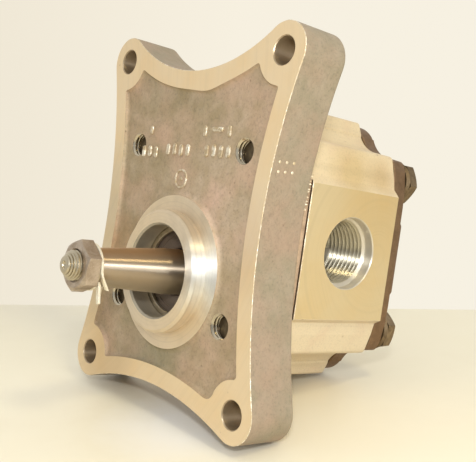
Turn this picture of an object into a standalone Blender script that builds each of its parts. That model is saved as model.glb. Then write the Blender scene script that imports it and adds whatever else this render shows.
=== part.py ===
"""Hydraulic external gear pump with a four-lobe mounting flange.

Frame: metres, +Z up.  The origin is where the drive shaft's axis crosses the
flange's mounting face.  The drive shaft points along -Y, the driven gear lies
above it (+Z), and the larger threaded port opens on the +X side.

Every physical piece is one object.  Sizes below are in millimetres and are
turned into metres by mm().
"""
import bpy
import bmesh
from math import sin, cos, tan, pi, sqrt, atan2, acos, radians, hypot
from mathutils import Matrix, Vector

# ----------------------------------------------------------------------------
# Driving dimensions (mm)
# ----------------------------------------------------------------------------
GAP = 0.3                      # clearance kept between touching pieces

# mounting flange
HOLE_X, HOLE_Z = 48.5, 64.0    # half spacing of the mounting holes
PATTERN_Z = 20.7               # pattern centre above the drive shaft
HOLE_R = 5.1
LOBE_R = 10.5
TOP_Z, BOTTOM_Z, SIDE_X = 79.4, -45.0, 49.6   # nearest points of the concave edges
FLANGE_T = 20.8
RECESS_IN, RECESS_BITE, RECESS_D = 7.3, 12.3, 1.5
PAD_R = 30.2                   # machined ring round the pilot
PILOT_R, PILOT_H = 24.0, 6.0
SEAL_BORE_R, SEAL_BORE_END = 18.1, 11.6
FLANGE_BORE_R = 13.0
FLANGE_EDGE = 1.4              # cast rounding of the rear edge

# body
CENTRE_DIST = 34.0             # between the two gear axes
BODY_Z = CENTRE_DIST / 2
BODY_Y0, BODY_Y1 = FLANGE_T + GAP, 79.0
BODY_TOP = 56.0                # half height
PAD_Y0 = 27.3
PAD_X = 45.4                   # milled port pads
CHAMBER_R = 20.15
BOLT_X, BOLT_Z = 34.0, 32.1    # half spacing of the through bolts
BOLT_R = 5.0
PORT_Y = 53.2
PORT_R, PORT_CB_R, PORT_CB_D = 13.2, 14.1, 4.4
PORT_L_R, PORT_L_CB_R = 10.2, 11.1

# rear cover
COVER_Y0, COVER_Y1, COVER_PAD = BODY_Y1 + GAP, 86.8, 90.2

# gears and shafts
TEETH = 12
MODULE = CENTRE_DIST / TEETH
PRESSURE = radians(22.5)
BACKLASH = 0.34
GEAR_OR = MODULE * (TEETH + 2) / 2
GEAR_RR = MODULE * (TEETH - 2.5) / 2
GEAR_Y0, GEAR_Y1 = 42.7, 63.7
JOURNAL_R = 9.0
STUD_R, STUD_Y0, STUD_Y1 = 5.55, -45.7, -34.2
TAPER_R0, TAPER_R1, TAPER_Y1 = 6.94, 8.73, -5.5

# bearing blocks and bushes
BLOCK_R = CHAMBER_R - GAP
BLOCK_F = (21.7, GEAR_Y0 - GAP)
BLOCK_R_Y = (GEAR_Y1 + GAP, 78.4)
BUSH_OR, BUSH_IR = 10.9, 9.3

# nut and washers
NUT_AF, NUT_Y0, NUT_Y1 = 17.0, -41.5, -35.8
HEAD_AF, HEAD_Y0, HEAD_Y1 = 16.0, 88.8, 94.0
WASHER_Y0, WASHER_Y1, WASHER_R = 87.1, 88.5, 8.8


def mm(v):
    return v * 0.001


# ----------------------------------------------------------------------------
# Scene and helpers
# ----------------------------------------------------------------------------
for ob in list(bpy.data.objects):
    bpy.data.objects.remove(ob, do_unlink=True)

parts = bpy.data.collections.new("hydraulic_gear_pump")
cutters = bpy.data.collections.new("cutters")
bpy.context.scene.collection.children.link(parts)
bpy.context.scene.collection.children.link(cutters)


def material(name, colour, rough, metal):
    m = bpy.data.materials.new(name)
    m.use_nodes = True
    b = m.node_tree.nodes["Principled BSDF"]
    b.inputs["Base Color"].default_value = (*colour, 1.0)
    b.inputs["Roughness"].default_value = rough
    b.inputs["Metallic"].default_value = metal
    m.diffuse_color = (*colour, 1.0)
    return m


LOOK = {
    "cast": ((0.42, 0.35, 0.27), 0.62, 0.7),
    "milled": ((0.80, 0.70, 0.50), 0.45, 0.8),
    "iron": ((0.10, 0.06, 0.035), 0.6, 0.6),
    "steel": ((0.50, 0.45, 0.38), 0.2, 1.0),
    "dull": ((0.30, 0.24, 0.18), 0.45, 0.9),
    "bright": ((0.62, 0.60, 0.56), 0.3, 1.0),
    "bronze": ((0.60, 0.42, 0.20), 0.4, 0.9),
    "rubber": ((0.02, 0.02, 0.02), 0.7, 0.0),
    "plastic": ((0.75, 0.72, 0.62), 0.5, 0.0),
}


def place(ob, look):
    c, r, m = LOOK[look]
    ob.data.materials.clear()
    ob.data.materials.append(material(ob.name + "_mat", c, r, m))
    parts.objects.link(ob)
    return ob


def new_object(name, mesh):
    return bpy.data.objects.new(name, mesh)


def tidy(mesh):
    bm = bmesh.new()
    bm.from_mesh(mesh)
    bmesh.ops.remove_doubles(bm, verts=bm.verts, dist=1e-6)
    bmesh.ops.recalc_face_normals(bm, faces=bm.faces)
    bm.to_mesh(mesh)
    bm.free()
    return mesh


def outline_solid(name, loops, lo, hi, plane="XZ"):
    """A flat outline made solid: loops of (u, v) in mm, from lo to hi.

    plane XZ: u is X, v is Z and the thickness runs along Y.
    plane XY: u is X, v is Y and the thickness runs along Z.
    """
    cu = bpy.data.curves.new(name + "_outline", "CURVE")
    cu.dimensions = "2D"
    cu.fill_mode = "BOTH"
    cu.extrude = mm(hi - lo) / 2
    for loop in loops:
        sp = cu.splines.new("POLY")
        sp.points.add(len(loop) - 1)
        for p, (u, v) in zip(sp.points, loop):
            p.co = (mm(u), mm(v), 0.0, 1.0)
        sp.use_cyclic_u = True
    ob = bpy.data.objects.new(name + "_outline", cu)
    bpy.context.scene.collection.objects.link(ob)
    if plane == "XZ":
        ob.matrix_world = Matrix.Translation((0, mm(lo + hi) / 2, 0)) @ Matrix.Rotation(pi / 2, 4, "X")
    else:
        ob.matrix_world = Matrix.Translation((0, 0, mm(lo + hi) / 2))
    bpy.context.view_layer.update()
    dg = bpy.context.evaluated_depsgraph_get()
    me = bpy.data.meshes.new_from_object(ob.evaluated_get(dg))
    me.transform(ob.matrix_world)
    me.name = name
    bpy.data.objects.remove(ob, do_unlink=True)
    return new_object(name, tidy(me))


def turned(name, profile, segs=32, closed=False, x=0.0, z=0.0, phase=0.0, axis="Y"):
    """A turned shape: profile of (radius, y) in mm, outer side in +Y order.

    The profile is set up at +X with the turning axis along local Z and a Screw
    modifier; local +Z then becomes world +Y (or +X for a port).
    """
    me = bpy.data.meshes.new(name + "_profile")
    pts = [(mm(r), 0.0, mm(y)) for r, y in profile]
    edges = [(i, i + 1) for i in range(len(pts) - 1)]
    if closed:
        edges.append((len(pts) - 1, 0))
    me.from_pydata(pts, edges, [])
    ob = bpy.data.objects.new(name + "_profile", me)
    bpy.context.scene.collection.objects.link(ob)
    sc = ob.modifiers.new("turn", "SCREW")
    sc.angle = 2 * pi
    sc.steps = segs
    sc.render_steps = segs
    sc.use_merge_vertices = True
    sc.merge_threshold = 0.00001
    bpy.context.view_layer.update()
    dg = bpy.context.evaluated_depsgraph_get()
    out = bpy.data.meshes.new_from_object(ob.evaluated_get(dg))
    bpy.data.objects.remove(ob, do_unlink=True)
    m = Matrix.Rotation(phase, 4, "Z")
    if axis == "Y":
        m = Matrix.Rotation(-pi / 2, 4, "X") @ m
    elif axis == "X":
        m = Matrix.Rotation(pi / 2, 4, "Y") @ m
    out.transform(m)
    out.transform(Matrix.Translation((mm(x), 0.0, mm(z))))
    out.name = name
    return new_object(name, tidy(out))


def rod(name, r, y0, y1, x=0.0, z=0.0, segs=24):
    """A plain cylinder along Y, from a cone primitive with equal radii."""
    bm = bmesh.new()
    bmesh.ops.create_cone(bm, cap_ends=True, cap_tris=False, segments=segs,
                          radius1=mm(r), radius2=mm(r), depth=mm(y1 - y0))
    bmesh.ops.transform(bm, verts=bm.verts, matrix=Matrix.Translation(
        (mm(x), mm(y0 + y1) / 2, mm(z))) @ Matrix.Rotation(pi / 2, 4, "X")
        @ Matrix.Rotation(pi / segs, 4, "Z"))
    me = bpy.data.meshes.new(name)
    bm.to_mesh(me)
    bm.free()
    return new_object(name, tidy(me))


def rod_x(name, r, x0, x1, y, z, segs=40):
    bm = bmesh.new()
    bmesh.ops.create_cone(bm, cap_ends=True, cap_tris=False, segments=segs,
                          radius1=mm(r), radius2=mm(r), depth=mm(x1 - x0))
    bmesh.ops.transform(bm, verts=bm.verts, matrix=Matrix.Translation(
        (mm(x0 + x1) / 2, mm(y), mm(z))) @ Matrix.Rotation(pi / 2, 4, "Y"))
    me = bpy.data.meshes.new(name)
    bm.to_mesh(me)
    bm.free()
    return new_object(name, tidy(me))


def block(name, x0, x1, y0, y1, z0, z1):
    bm = bmesh.new()
    bmesh.ops.create_cube(bm, size=1.0)
    for v in bm.verts:
        v.co = Vector((mm(x0 + x1) / 2 + v.co.x * mm(x1 - x0),
                       mm(y0 + y1) / 2 + v.co.y * mm(y1 - y0),
                       mm(z0 + z1) / 2 + v.co.z * mm(z1 - z0)))
    me = bpy.data.meshes.new(name)
    bm.to_mesh(me)
    bm.free()
    return new_object(name, tidy(me))


def use(target, tool, how="DIFFERENCE"):
    """Boolean modifier on target; the tool becomes a hidden wire cutter."""
    if tool.name not in cutters.objects:
        cutters.objects.link(tool)
    tool.hide_render = True
    tool.display_type = "WIRE"
    m = target.modifiers.new(how.lower() + "_" + tool.name, "BOOLEAN")
    m.operation = how
    m.solver = "EXACT"
    m.object = tool
    return target


def apply_all(ob):
    """Evaluate an object's modifiers into its mesh."""
    linked = ob.name in bpy.context.scene.collection.objects
    if not ob.users_collection:
        bpy.context.scene.collection.objects.link(ob)
        linked = True
    bpy.context.view_layer.update()
    dg = bpy.context.evaluated_depsgraph_get()
    me = bpy.data.meshes.new_from_object(ob.evaluated_get(dg))
    ob.modifiers.clear()
    old = ob.data
    ob.data = me
    me.name = ob.name
    bpy.data.meshes.remove(old)
    if linked:
        bpy.context.scene.collection.objects.unlink(ob)
    return ob


def shade(ob, angle=35):
    ob.data.shade_smooth()
    ob.data.set_sharp_from_angle(angle=radians(angle))
    return ob


# ----------------------------------------------------------------------------
# Flat geometry
# ----------------------------------------------------------------------------
def arc(cx, cz, r, a0, a1, n):
    """n + 1 points on an arc from angle a0 to a1 (radians)."""
    return [(cx + r * cos(a0 + (a1 - a0) * i / n), cz + r * sin(a0 + (a1 - a0) * i / n))
            for i in range(n + 1)]


def meet(c0, r0, c1, r1, pick):
    """Crossing of two circles nearest to the point pick."""
    dx, dz = c1[0] - c0[0], c1[1] - c0[1]
    d = hypot(dx, dz)
    a = (r0 * r0 - r1 * r1 + d * d) / (2 * d)
    h = sqrt(max(r0 * r0 - a * a, 0.0))
    mx, mz = c0[0] + a * dx / d, c0[1] + a * dz / d
    both = [(mx + h * dz / d, mz - h * dx / d), (mx - h * dz / d, mz + h * dx / d)]
    return min(both, key=lambda p: hypot(p[0] - pick[0], p[1] - pick[1]))


def tangent_arcs():
    """Centre and radius of each concave edge, tangent to the corner lobes."""
    hx, r = HOLE_X, LOBE_R
    zt, zb = PATTERN_Z + HOLE_Z, PATTERN_Z - HOLE_Z
    a = TOP_Z - zt
    rt = (hx * hx + a * a - r * r) / (2 * r - 2 * a)
    top = ((0.0, TOP_Z + rt), rt)
    b = zb - BOTTOM_Z
    rb = (hx * hx + b * b - r * r) / (2 * r - 2 * b)
    bottom = ((0.0, BOTTOM_Z - rb), rb)
    c = SIDE_X - hx
    rs = (HOLE_Z ** 2 + c * c - r * r) / (2 * r - 2 * c)
    side = ((SIDE_X + rs, PATTERN_Z), rs)
    return top, bottom, side


def flange_outline(grow=0.0):
    """Right half from the top middle down to the bottom middle, then mirrored.

    grow > 0 swells the outline and shrinks the concave radii to match.
    """
    (tc, rt), (bc, rb), (sc, rs) = tangent_arcs()
    rt, rb, rs, lobe = rt - grow, rb - grow, rs - grow, LOBE_R + grow
    hu = (HOLE_X, PATTERN_Z + HOLE_Z)
    hl = (HOLE_X, PATTERN_Z - HOLE_Z)
    ang = lambda c, p: atan2(p[1] - c[1], p[0] - c[0])
    pts = []
    pts += arc(*tc, rt, -pi / 2, ang(tc, hu), 7)                      # top edge
    a0, a1 = ang(hu, tc), ang(hu, sc)
    pts += arc(*hu, lobe, a0, a1, 10)[1:]                            # upper lobe
    b0, b1 = ang(sc, hu), ang(sc, hl)
    b0, b1 = (b0 + 2 * pi) % (2 * pi), (b1 + 2 * pi) % (2 * pi)
    pts += arc(*sc, rs, b0, b1, 8)[1:]                               # side
    a0, a1 = ang(hl, sc), ang(hl, bc)
    pts += arc(*hl, lobe, a0, a1, 10)[1:]                            # lower lobe
    pts += arc(*bc, rb, ang(bc, hl), pi / 2, 6)[1:]                  # bottom edge
    left = [(-x, z) for x, z in reversed(pts[1:-1])]
    return pts + left


def recess_outline():
    """Cast field inside the machined border, bitten into by the corner pads."""
    (tc, rt), (bc, rb), (sc, rs) = tangent_arcs()
    rt, rb, rs = rt + RECESS_IN, rb + RECESS_IN, rs + RECESS_IN
    hu = (HOLE_X, PATTERN_Z + HOLE_Z)
    hl = (HOLE_X, PATTERN_Z - HOLE_Z)
    ang = lambda c, p: atan2(p[1] - c[1], p[0] - c[0])
    p1 = meet(tc, rt, hu, RECESS_BITE, (HOLE_X - 14, hu[1] - 4))
    p2 = meet(sc, rs, hu, RECESS_BITE, (HOLE_X - 2, hu[1] - 14))
    p3 = meet(sc, rs, hl, RECESS_BITE, (HOLE_X - 2, hl[1] + 14))
    p4 = meet(bc, rb, hl, RECESS_BITE, (HOLE_X - 14, hl[1] + 4))
    pts = arc(*tc, rt, -pi / 2, ang(tc, p1), 6)
    a0, a1 = ang(hu, p1) % (2 * pi), ang(hu, p2) % (2 * pi)
    pts += arc(*hu, RECESS_BITE, a0, a1, 6)[1:]
    b0, b1 = ang(sc, p2) % (2 * pi), ang(sc, p3) % (2 * pi)
    pts += arc(*sc, rs, b0, b1, 6)[1:]
    a0, a1 = ang(hl, p3) % (2 * pi), ang(hl, p4) % (2 * pi)
    pts += arc(*hl, RECESS_BITE, a0, a1, 6)[1:]
    pts += arc(*bc, rb, ang(bc, p4), pi / 2, 6)[1:]
    return pts + [(-x, z) for x, z in reversed(pts[1:-1])]


def mirrored_section(half):
    """Upper right quarter (from the top middle, clockwise) to a full section."""
    right = half + [(x, -z) for x, z in reversed(half) if z > 1e-6]
    full = right + [(-x, z) for x, z in reversed(right) if x > 1e-6]
    return [(x, z + BODY_Z) for x, z in full]


def body_section():
    half = [(16.8, BODY_TOP), (18.1, 55.6), (18.7, 54.8), (20.7, 51.4)]
    half += arc(31.6, 56.0, 13.0, radians(208), radians(262), 6)[1:]
    half += [(34.8, 42.4), (37.9, 41.3), (39.2, 40.5), (39.9, 39.4), (41.4, 33.4),
             (42.5, 28.4), (PAD_X, 26.2)]
    return mirrored_section(half)


def cover_section():
    half = [(7.0, 55.2)] + arc(10.5, 42.8, 12.3, radians(80), radians(36), 4)
    half += arc(33.6, 55.2, 13.6, radians(206), radians(258), 5)
    half += [(34.4, 41.5), (37.2, 40.6), (39.3, 39.3), (40.6, 37.0), (41.9, 30.0), (42.4, 22.0)]
    return mirrored_section(half)


def figure_eight(r, n=20):
    """Outline of two equal circles on the gear axes, joined at the waist."""
    half = acos(min(1.0, (CENTRE_DIST / 2) / r))
    low = arc(0.0, 0.0, r, pi / 2 + half, 2 * pi + pi / 2 - half, n)
    up = arc(0.0, CENTRE_DIST, r, -pi / 2 + half, 3 * pi / 2 - half, n)
    return low + up[1:-1]


def gear_outline(first):
    """External involute gear; first is the angle of one tooth's centre."""
    rp = MODULE * TEETH / 2
    rb = rp * cos(PRESSURE)
    inv = lambda r: sqrt(max((r / rb) ** 2 - 1, 0.0)) - acos(min(1.0, rb / r))
    half_p = (pi * MODULE / 2 - BACKLASH) / (2 * rp)
    half_at = lambda r: half_p + inv(rp) - inv(max(r, rb))
    radii = [rb + (GEAR_OR - rb) * i / 4 for i in range(5)]
    pitch = 2 * pi / TEETH
    pts = []
    for t in range(TEETH):
        c = first + t * pitch
        foot = half_at(rb) + 0.035
        polar = [(GEAR_RR, -pitch / 2), (GEAR_RR, -foot - 0.02)]
        polar += [(r, -half_at(r)) for r in radii]
        polar += [(r, half_at(r)) for r in reversed(radii)]
        polar += [(GEAR_RR, foot + 0.02)]
        pts += [(r * cos(c + a), r * sin(c + a)) for r, a in polar]
    return pts


def hexagon(af, first):
    r = af / 2 / cos(pi / 6)
    return [(r * cos(first + i * pi / 3), r * sin(first + i * pi / 3)) for i in range(6)]


def shifted(loop, dx=0.0, dz=0.0):
    return [(x + dx, z + dz) for x, z in loop]


def seal_path():
    """Centre line of the three-shaped pressure seal, on the +X side."""
    low = arc(0.0, 0.0, 14.6, radians(-96), radians(56), 9)
    up = [(x, CENTRE_DIST - z) for x, z in reversed(low)]
    return low + up


def strip(path, d0, d1):
    """Closed strip between two offsets of an open path, mitred at its points."""
    def offset(d):
        out = []
        for i, (x, z) in enumerate(path):
            dirs = []
            if i:
                dirs.append((x - path[i - 1][0], z - path[i - 1][1]))
            if i < len(path) - 1:
                dirs.append((path[i + 1][0] - x, path[i + 1][1] - z))
            ns = [(v / hypot(u, v), -u / hypot(u, v)) for u, v in dirs]
            nx, nz = sum(n[0] for n in ns), sum(n[1] for n in ns)
            k = hypot(nx, nz)
            nx, nz = nx / k, nz / k
            scale = 1.0 / max(0.5, nx * ns[0][0] + nz * ns[0][1])
            out.append((x + nx * d * scale, z + nz * d * scale))
        return out
    return offset(d0) + list(reversed(offset(d1)))


BOLTS = {"lower_left": (-BOLT_X, BODY_Z - BOLT_Z), "lower_right": (BOLT_X, BODY_Z - BOLT_Z),
         "upper_left": (-BOLT_X, BODY_Z + BOLT_Z), "upper_right": (BOLT_X, BODY_Z + BOLT_Z)}
DOWELS = {"upper": (0.0, BODY_Z + 46.5), "lower": (0.0, BODY_Z - 46.5)}

# ----------------------------------------------------------------------------
# Mounting flange
# ----------------------------------------------------------------------------
MOUNT_HOLES = [(sx * HOLE_X, PATTERN_Z + sz * HOLE_Z) for sz in (1, -1) for sx in (1, -1)]


def round_hole(x, z, r, n):
    return arc(x, z, r, pi / n, 2 * pi + pi / n, n)[:-1]


flange = outline_solid(
    "mounting_flange",
    [flange_outline()] + [round_hole(x, z, HOLE_R, 24) for x, z in MOUNT_HOLES]
    + [round_hole(x, z, BOLT_R + GAP, 18) for x, z in BOLTS.values()], 0.0, FLANGE_T)
inner = [(x, z, HOLE_R) for x, z in MOUNT_HOLES] + [(x, z, BOLT_R + GAP) for x, z in BOLTS.values()]


def is_rim(e):
    """An outer edge of the rear face: level with it, and not round a hole."""
    if any(v.co.y < mm(FLANGE_T) - 1e-6 for v in e.verts):
        return False
    if len([f for f in e.link_faces if abs(f.normal.y) > 0.9]) != 1:
        return False
    c = (e.verts[0].co + e.verts[1].co) * 500
    return all(hypot(c.x - x, c.z - z) > r + 0.5 for x, z, r in inner)


bm = bmesh.new()
bm.from_mesh(flange.data)
bmesh.ops.dissolve_limit(bm, angle_limit=radians(0.1), verts=bm.verts, edges=bm.edges)
bmesh.ops.bevel(bm, geom=[e for e in bm.edges if is_rim(e)], offset=mm(FLANGE_EDGE), segments=2,
                profile=0.5, affect="EDGES", clamp_overlap=True)
bm.to_mesh(flange.data)
bm.free()
place(flange, "cast")
use(flange, turned("pilot_tool", [(0, -PILOT_H), (PILOT_R - 1.0, -PILOT_H), (PILOT_R, -PILOT_H + 1.0),
                                  (PILOT_R, 4.0), (0, 4.0)], 40), "UNION")
ring = arc(0, 0, PAD_R, 0.03, 2 * pi + 0.03, 40)[:-1]
use(flange, outline_solid("recess_tool", [recess_outline(), ring], -2.0, RECESS_D))
use(flange, turned("seal_bore_tool", [(0, -PILOT_H - 2), (SEAL_BORE_R + 3.2, -PILOT_H - 2),
                                      (SEAL_BORE_R, -PILOT_H + 0.8), (SEAL_BORE_R, 2.2),
                                      (19.2, 2.2), (19.2, 4.2), (SEAL_BORE_R, 4.2),
                                      (SEAL_BORE_R, SEAL_BORE_END), (FLANGE_BORE_R, SEAL_BORE_END),
                                      (FLANGE_BORE_R, FLANGE_T + 3), (0, FLANGE_T + 3)], 36))
for k, (x, z) in DOWELS.items():
    use(flange, rod("flange_dowel_tool_" + k, 3.3, 15.6, FLANGE_T + 2, x, z, 12))
use(flange, outline_solid("flange_groove_tool", [figure_eight(24.9, 14), figure_eight(22.3, 14)],
                          FLANGE_T - 1.6, FLANGE_T + 2))

# ----------------------------------------------------------------------------
# Body
# ----------------------------------------------------------------------------
bolt_holes = [round_hole(x, z, BOLT_R + GAP, 18) for x, z in BOLTS.values()]
body = outline_solid("pump_body", [body_section(), figure_eight(CHAMBER_R, 20)] + bolt_holes,
                     BODY_Y0, BODY_Y1)
place(body, "milled")
# the pads start a little behind the flange; the skin before them is lower
for s_ in (-1, 1):
    use(body, block("pad_relief_tool_%d" % s_, min(s_ * (PAD_X - 1.1), s_ * (PAD_X + 3)), max(s_ * (PAD_X - 1.1), s_ * (PAD_X + 3)),
                    BODY_Y0 - 2, PAD_Y0, BODY_Z - 30, BODY_Z + 30))
use(body, rod_x("port_right_tool", PORT_R, 11.0, PAD_X + 3, PORT_Y, BODY_Z, 36))
use(body, rod_x("port_right_mouth_tool", PORT_CB_R, PAD_X - PORT_CB_D, PAD_X + 3, PORT_Y, BODY_Z, 36))
use(body, rod_x("port_left_tool", PORT_L_R, -PAD_X - 3, -11.0, PORT_Y, BODY_Z, 30))
use(body, rod_x("port_left_mouth_tool", PORT_L_CB_R, -PAD_X - 3, -PAD_X + PORT_CB_D, PORT_Y, BODY_Z, 30))
for k, (x, z) in DOWELS.items():
    use(body, rod("body_front_dowel_tool_" + k, 3.3, BODY_Y0 - 2, 26.6, x, z, 12))
    use(body, rod("body_rear_dowel_tool_" + k, 3.3, 73.5, BODY_Y1 + 2, x, z, 12))

# ----------------------------------------------------------------------------
# Rear cover, with a raised machined band across its middle
# ----------------------------------------------------------------------------
cover = outline_solid("rear_cover", [cover_section()] + bolt_holes, COVER_Y0, COVER_PAD)
place(cover, "iron")
use(cover, block("cover_step_tool_upper", -60, 60, COVER_Y1, COVER_PAD + 2, BODY_Z + 16.0, BODY_Z + 70))
use(cover, block("cover_step_tool_lower", -60, 60, COVER_Y1, COVER_PAD + 2, BODY_Z - 70, BODY_Z - 17.4))
for k, (x, z) in DOWELS.items():
    use(cover, rod("cover_dowel_tool_" + k, 3.3, COVER_Y0 - 2, 84.4, x, z, 12))
use(cover, outline_solid("cover_groove_tool", [figure_eight(24.9, 14), figure_eight(22.3, 14)],
                         COVER_Y0 - 2, COVER_Y0 + 1.6))

# ----------------------------------------------------------------------------
# Gear shafts.  Each piece that turns has its origin on its own axis.
# ----------------------------------------------------------------------------
drive_profile = [(0, STUD_Y0), (STUD_R - 2.6, STUD_Y0), (STUD_R, STUD_Y0 + 2.2), (STUD_R, STUD_Y1),
                 (TAPER_R0, STUD_Y1), (TAPER_R1, TAPER_Y1), (JOURNAL_R, TAPER_Y1 + 0.5),
                 (JOURNAL_R, 77.4), (JOURNAL_R - 0.8, 78.2), (0, 78.2)]
drive = turned("drive_gear_shaft", drive_profile, 36)
place(drive, "steel")
use(drive, outline_solid("drive_teeth_tool", [gear_outline(pi / 2)], GEAR_Y0, GEAR_Y1), "UNION")

KEY_Y, KEY_TOP, KEY_H, KEY_D, KEY_W = -20.0, -9.4, 6.5, 16.0, 4.0
key_cx = KEY_TOP + KEY_H - KEY_D / 2


def key_outline(r, flat):
    a = acos((flat - key_cx) / r)
    return [(x, y + KEY_Y) for x, y in arc(key_cx, 0.0, r, -a, a, 14)]


key_slot = outline_solid("key_slot_tool", [key_outline(KEY_D / 2 + GAP, KEY_TOP - 1.6)],
                         -KEY_W / 2 - GAP, KEY_W / 2 + GAP, "XY")
use(drive, key_slot)
key = outline_solid("shaft_key", [key_outline(KEY_D / 2, KEY_TOP)], -KEY_W / 2, KEY_W / 2, "XY")
place(key, "dull")

driven_profile = [(0, 22.1), (JOURNAL_R - 0.8, 22.1), (JOURNAL_R, 22.9), (JOURNAL_R, 77.4),
                  (JOURNAL_R - 0.8, 78.2), (0, 78.2)]
driven = turned("driven_gear_shaft", driven_profile, 36)
place(driven, "steel")
use(driven, outline_solid("driven_teeth_tool", [gear_outline(pi / 2 + pi / TEETH)], GEAR_Y0, GEAR_Y1),
    "UNION")
driven_tool = bpy.data.objects["driven_teeth_tool"]
driven.location = (0, 0, mm(CENTRE_DIST))
driven_tool.location = (0, 0, mm(CENTRE_DIST))

# ----------------------------------------------------------------------------
# Bearing blocks, bushes and pressure seals
# ----------------------------------------------------------------------------
for side, (y0, y1) in (("front", BLOCK_F), ("rear", BLOCK_R_Y)):
    hole = arc(0, 0, BUSH_OR + GAP, 0, 2 * pi, 28)[:-1]
    blk = outline_solid(side + "_bearing_block",
                        [figure_eight(BLOCK_R, 20), hole, shifted(hole, 0, CENTRE_DIST)], y0, y1)
    place(blk, "milled")
    path = seal_path()
    if side == "front":
        g0, g1, s0, s1 = y0 - 1, y0 + 2.2, y0 + 0.1, y0 + 1.9
        relief = (y1 - 1.6, y1 + 1)
    else:
        g0, g1, s0, s1 = y1 - 2.2, y1 + 1, y1 - 1.9, y1 - 0.1
        relief = (y0 - 1, y0 + 1.6)
    use(blk, outline_solid(side + "_seal_groove_tool", [strip(path, -1.65, 2.25)], g0, g1))
    for sx in (-1, 1):                       # trapped-oil relief pockets
        x0, x1 = sorted((sx * 2.6, sx * 6.4))
        use(blk, block("%s_relief_tool_%d" % (side, sx), x0, x1, relief[0], relief[1],
                       BODY_Z - 4.0, BODY_Z + 4.0))
    place(outline_solid(side + "_pressure_seal", [strip(path, 0.15, 1.95)], s0, s1), "rubber")
    place(outline_solid(side + "_backup_ring", [strip(path, -1.35, -0.15)], s0, s1), "plastic")
    for name, z in (("drive", 0.0), ("driven", CENTRE_DIST)):
        bush = turned("%s_%s_bush" % (side, name),
                      [(BUSH_OR, y0 + 0.3), (BUSH_OR, y1 - 0.3), (BUSH_IR, y1 - 0.3), (BUSH_IR, y0 + 0.3)],
                      28, closed=True, z=z)
        place(bush, "bronze")

# ----------------------------------------------------------------------------
# Face seals, shaft seal and its retaining ring
# ----------------------------------------------------------------------------
place(outline_solid("front_body_seal", [figure_eight(24.6, 14), figure_eight(22.6, 14)],
                    FLANGE_T - 1.3, FLANGE_T), "rubber")
place(outline_solid("rear_body_seal", [figure_eight(24.6, 14), figure_eight(22.6, 14)],
                    COVER_Y0, COVER_Y0 + 1.3), "rubber")
place(turned("shaft_seal", [(17.8, 4.6), (17.8, 11.2), (15.6, 11.2), (15.6, 6.8), (12.3, 6.8),
                            (10.5, 10.4), (9.3, 9.4), (10.0, 6.4), (9.35, 5.2), (10.4, 4.6)],
             36, closed=True), "rubber")
place(turned("seal_garter_spring", [(12.1 + 0.5 * cos(a), 9.7 + 0.5 * sin(a)) for a in
                                    [2 * pi * i / 6 for i in range(6)]], 20, closed=True), "bright")
gap_a = radians(16)
ring_out = arc(0, 0, 18.9, gap_a, 2 * pi - gap_a, 36)
lug = arc(0, 0, 14.6, 2 * pi - gap_a, 2 * pi - gap_a - radians(13), 2)
rim = arc(0, 0, 16.2, 2 * pi - gap_a - radians(16), gap_a + radians(16), 30)
lug2 = arc(0, 0, 14.6, gap_a + radians(13), gap_a, 2)
circlip = outline_solid("seal_retaining_ring", [ring_out + lug + rim + lug2], 2.5, 3.9)
place(circlip, "bright")
for i, s in enumerate((-1, 1)):
    a = s * (gap_a + radians(6.5))
    use(circlip, rod("circlip_eye_tool_%d" % i, 0.9, 1.5, 5.0, 16.2 * cos(a), 16.2 * sin(a), 10))

# ----------------------------------------------------------------------------
# Nut and tab washer on the threaded end of the drive shaft
# ----------------------------------------------------------------------------


def hex_piece(name, af, y0, y1, phase, chamfer_lo, chamfer_hi, segs=30):
    """Hexagonal prism with its corners turned off at one or both ends."""
    ob = outline_solid(name, [hexagon(af, phase)], y0, y1)
    r = af / 2 / cos(pi / 6)
    c = r - af / 2 + 0.35
    k = c * tan(radians(30))
    prof = [(0, y0 - 1 if not chamfer_lo else y0)]
    prof += [(r - c, y0), (r + 0.6, y0 + (c + 0.6) * tan(radians(30)))] if chamfer_lo else [(r + 0.6, y0 - 1)]
    prof += [(r + 0.6, y1 - (c + 0.6) * tan(radians(30))), (r - c, y1)] if chamfer_hi else [(r + 0.6, y1 + 1)]
    prof += [(0, y1 + 1 if not chamfer_hi else y1)]
    use(ob, turned(name + "_chamfer_tool", prof, segs), "INTERSECT")
    return ob


nut = hex_piece("shaft_nut", NUT_AF, NUT_Y0, NUT_Y1, radians(23), True, True)
place(nut, "dull")
use(nut, turned("nut_bore_tool", [(0, NUT_Y0 - 2), (STUD_R + GAP + 1.9, NUT_Y0 - 1.0),
                                  (STUD_R + GAP, NUT_Y0 + 0.6), (STUD_R + GAP, NUT_Y1 + 2),
                                  (0, NUT_Y1 + 2)], 24))

WASH_Y0, WASH_Y1 = -35.5, -34.5
outer = arc(0, 0, 8.8, radians(-22), radians(320), 30)   # disc, broken by the locking tail
tail = [(8.1, -12.6), (9.6, -12.3)]
washer_hole = arc(0, 0, STUD_R + GAP, 0, 2 * pi, 24)[:-1]
tab_washer = outline_solid("tab_washer", [outer + tail, washer_hole], WASH_Y0, WASH_Y1)
place(tab_washer, "bright")

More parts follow.
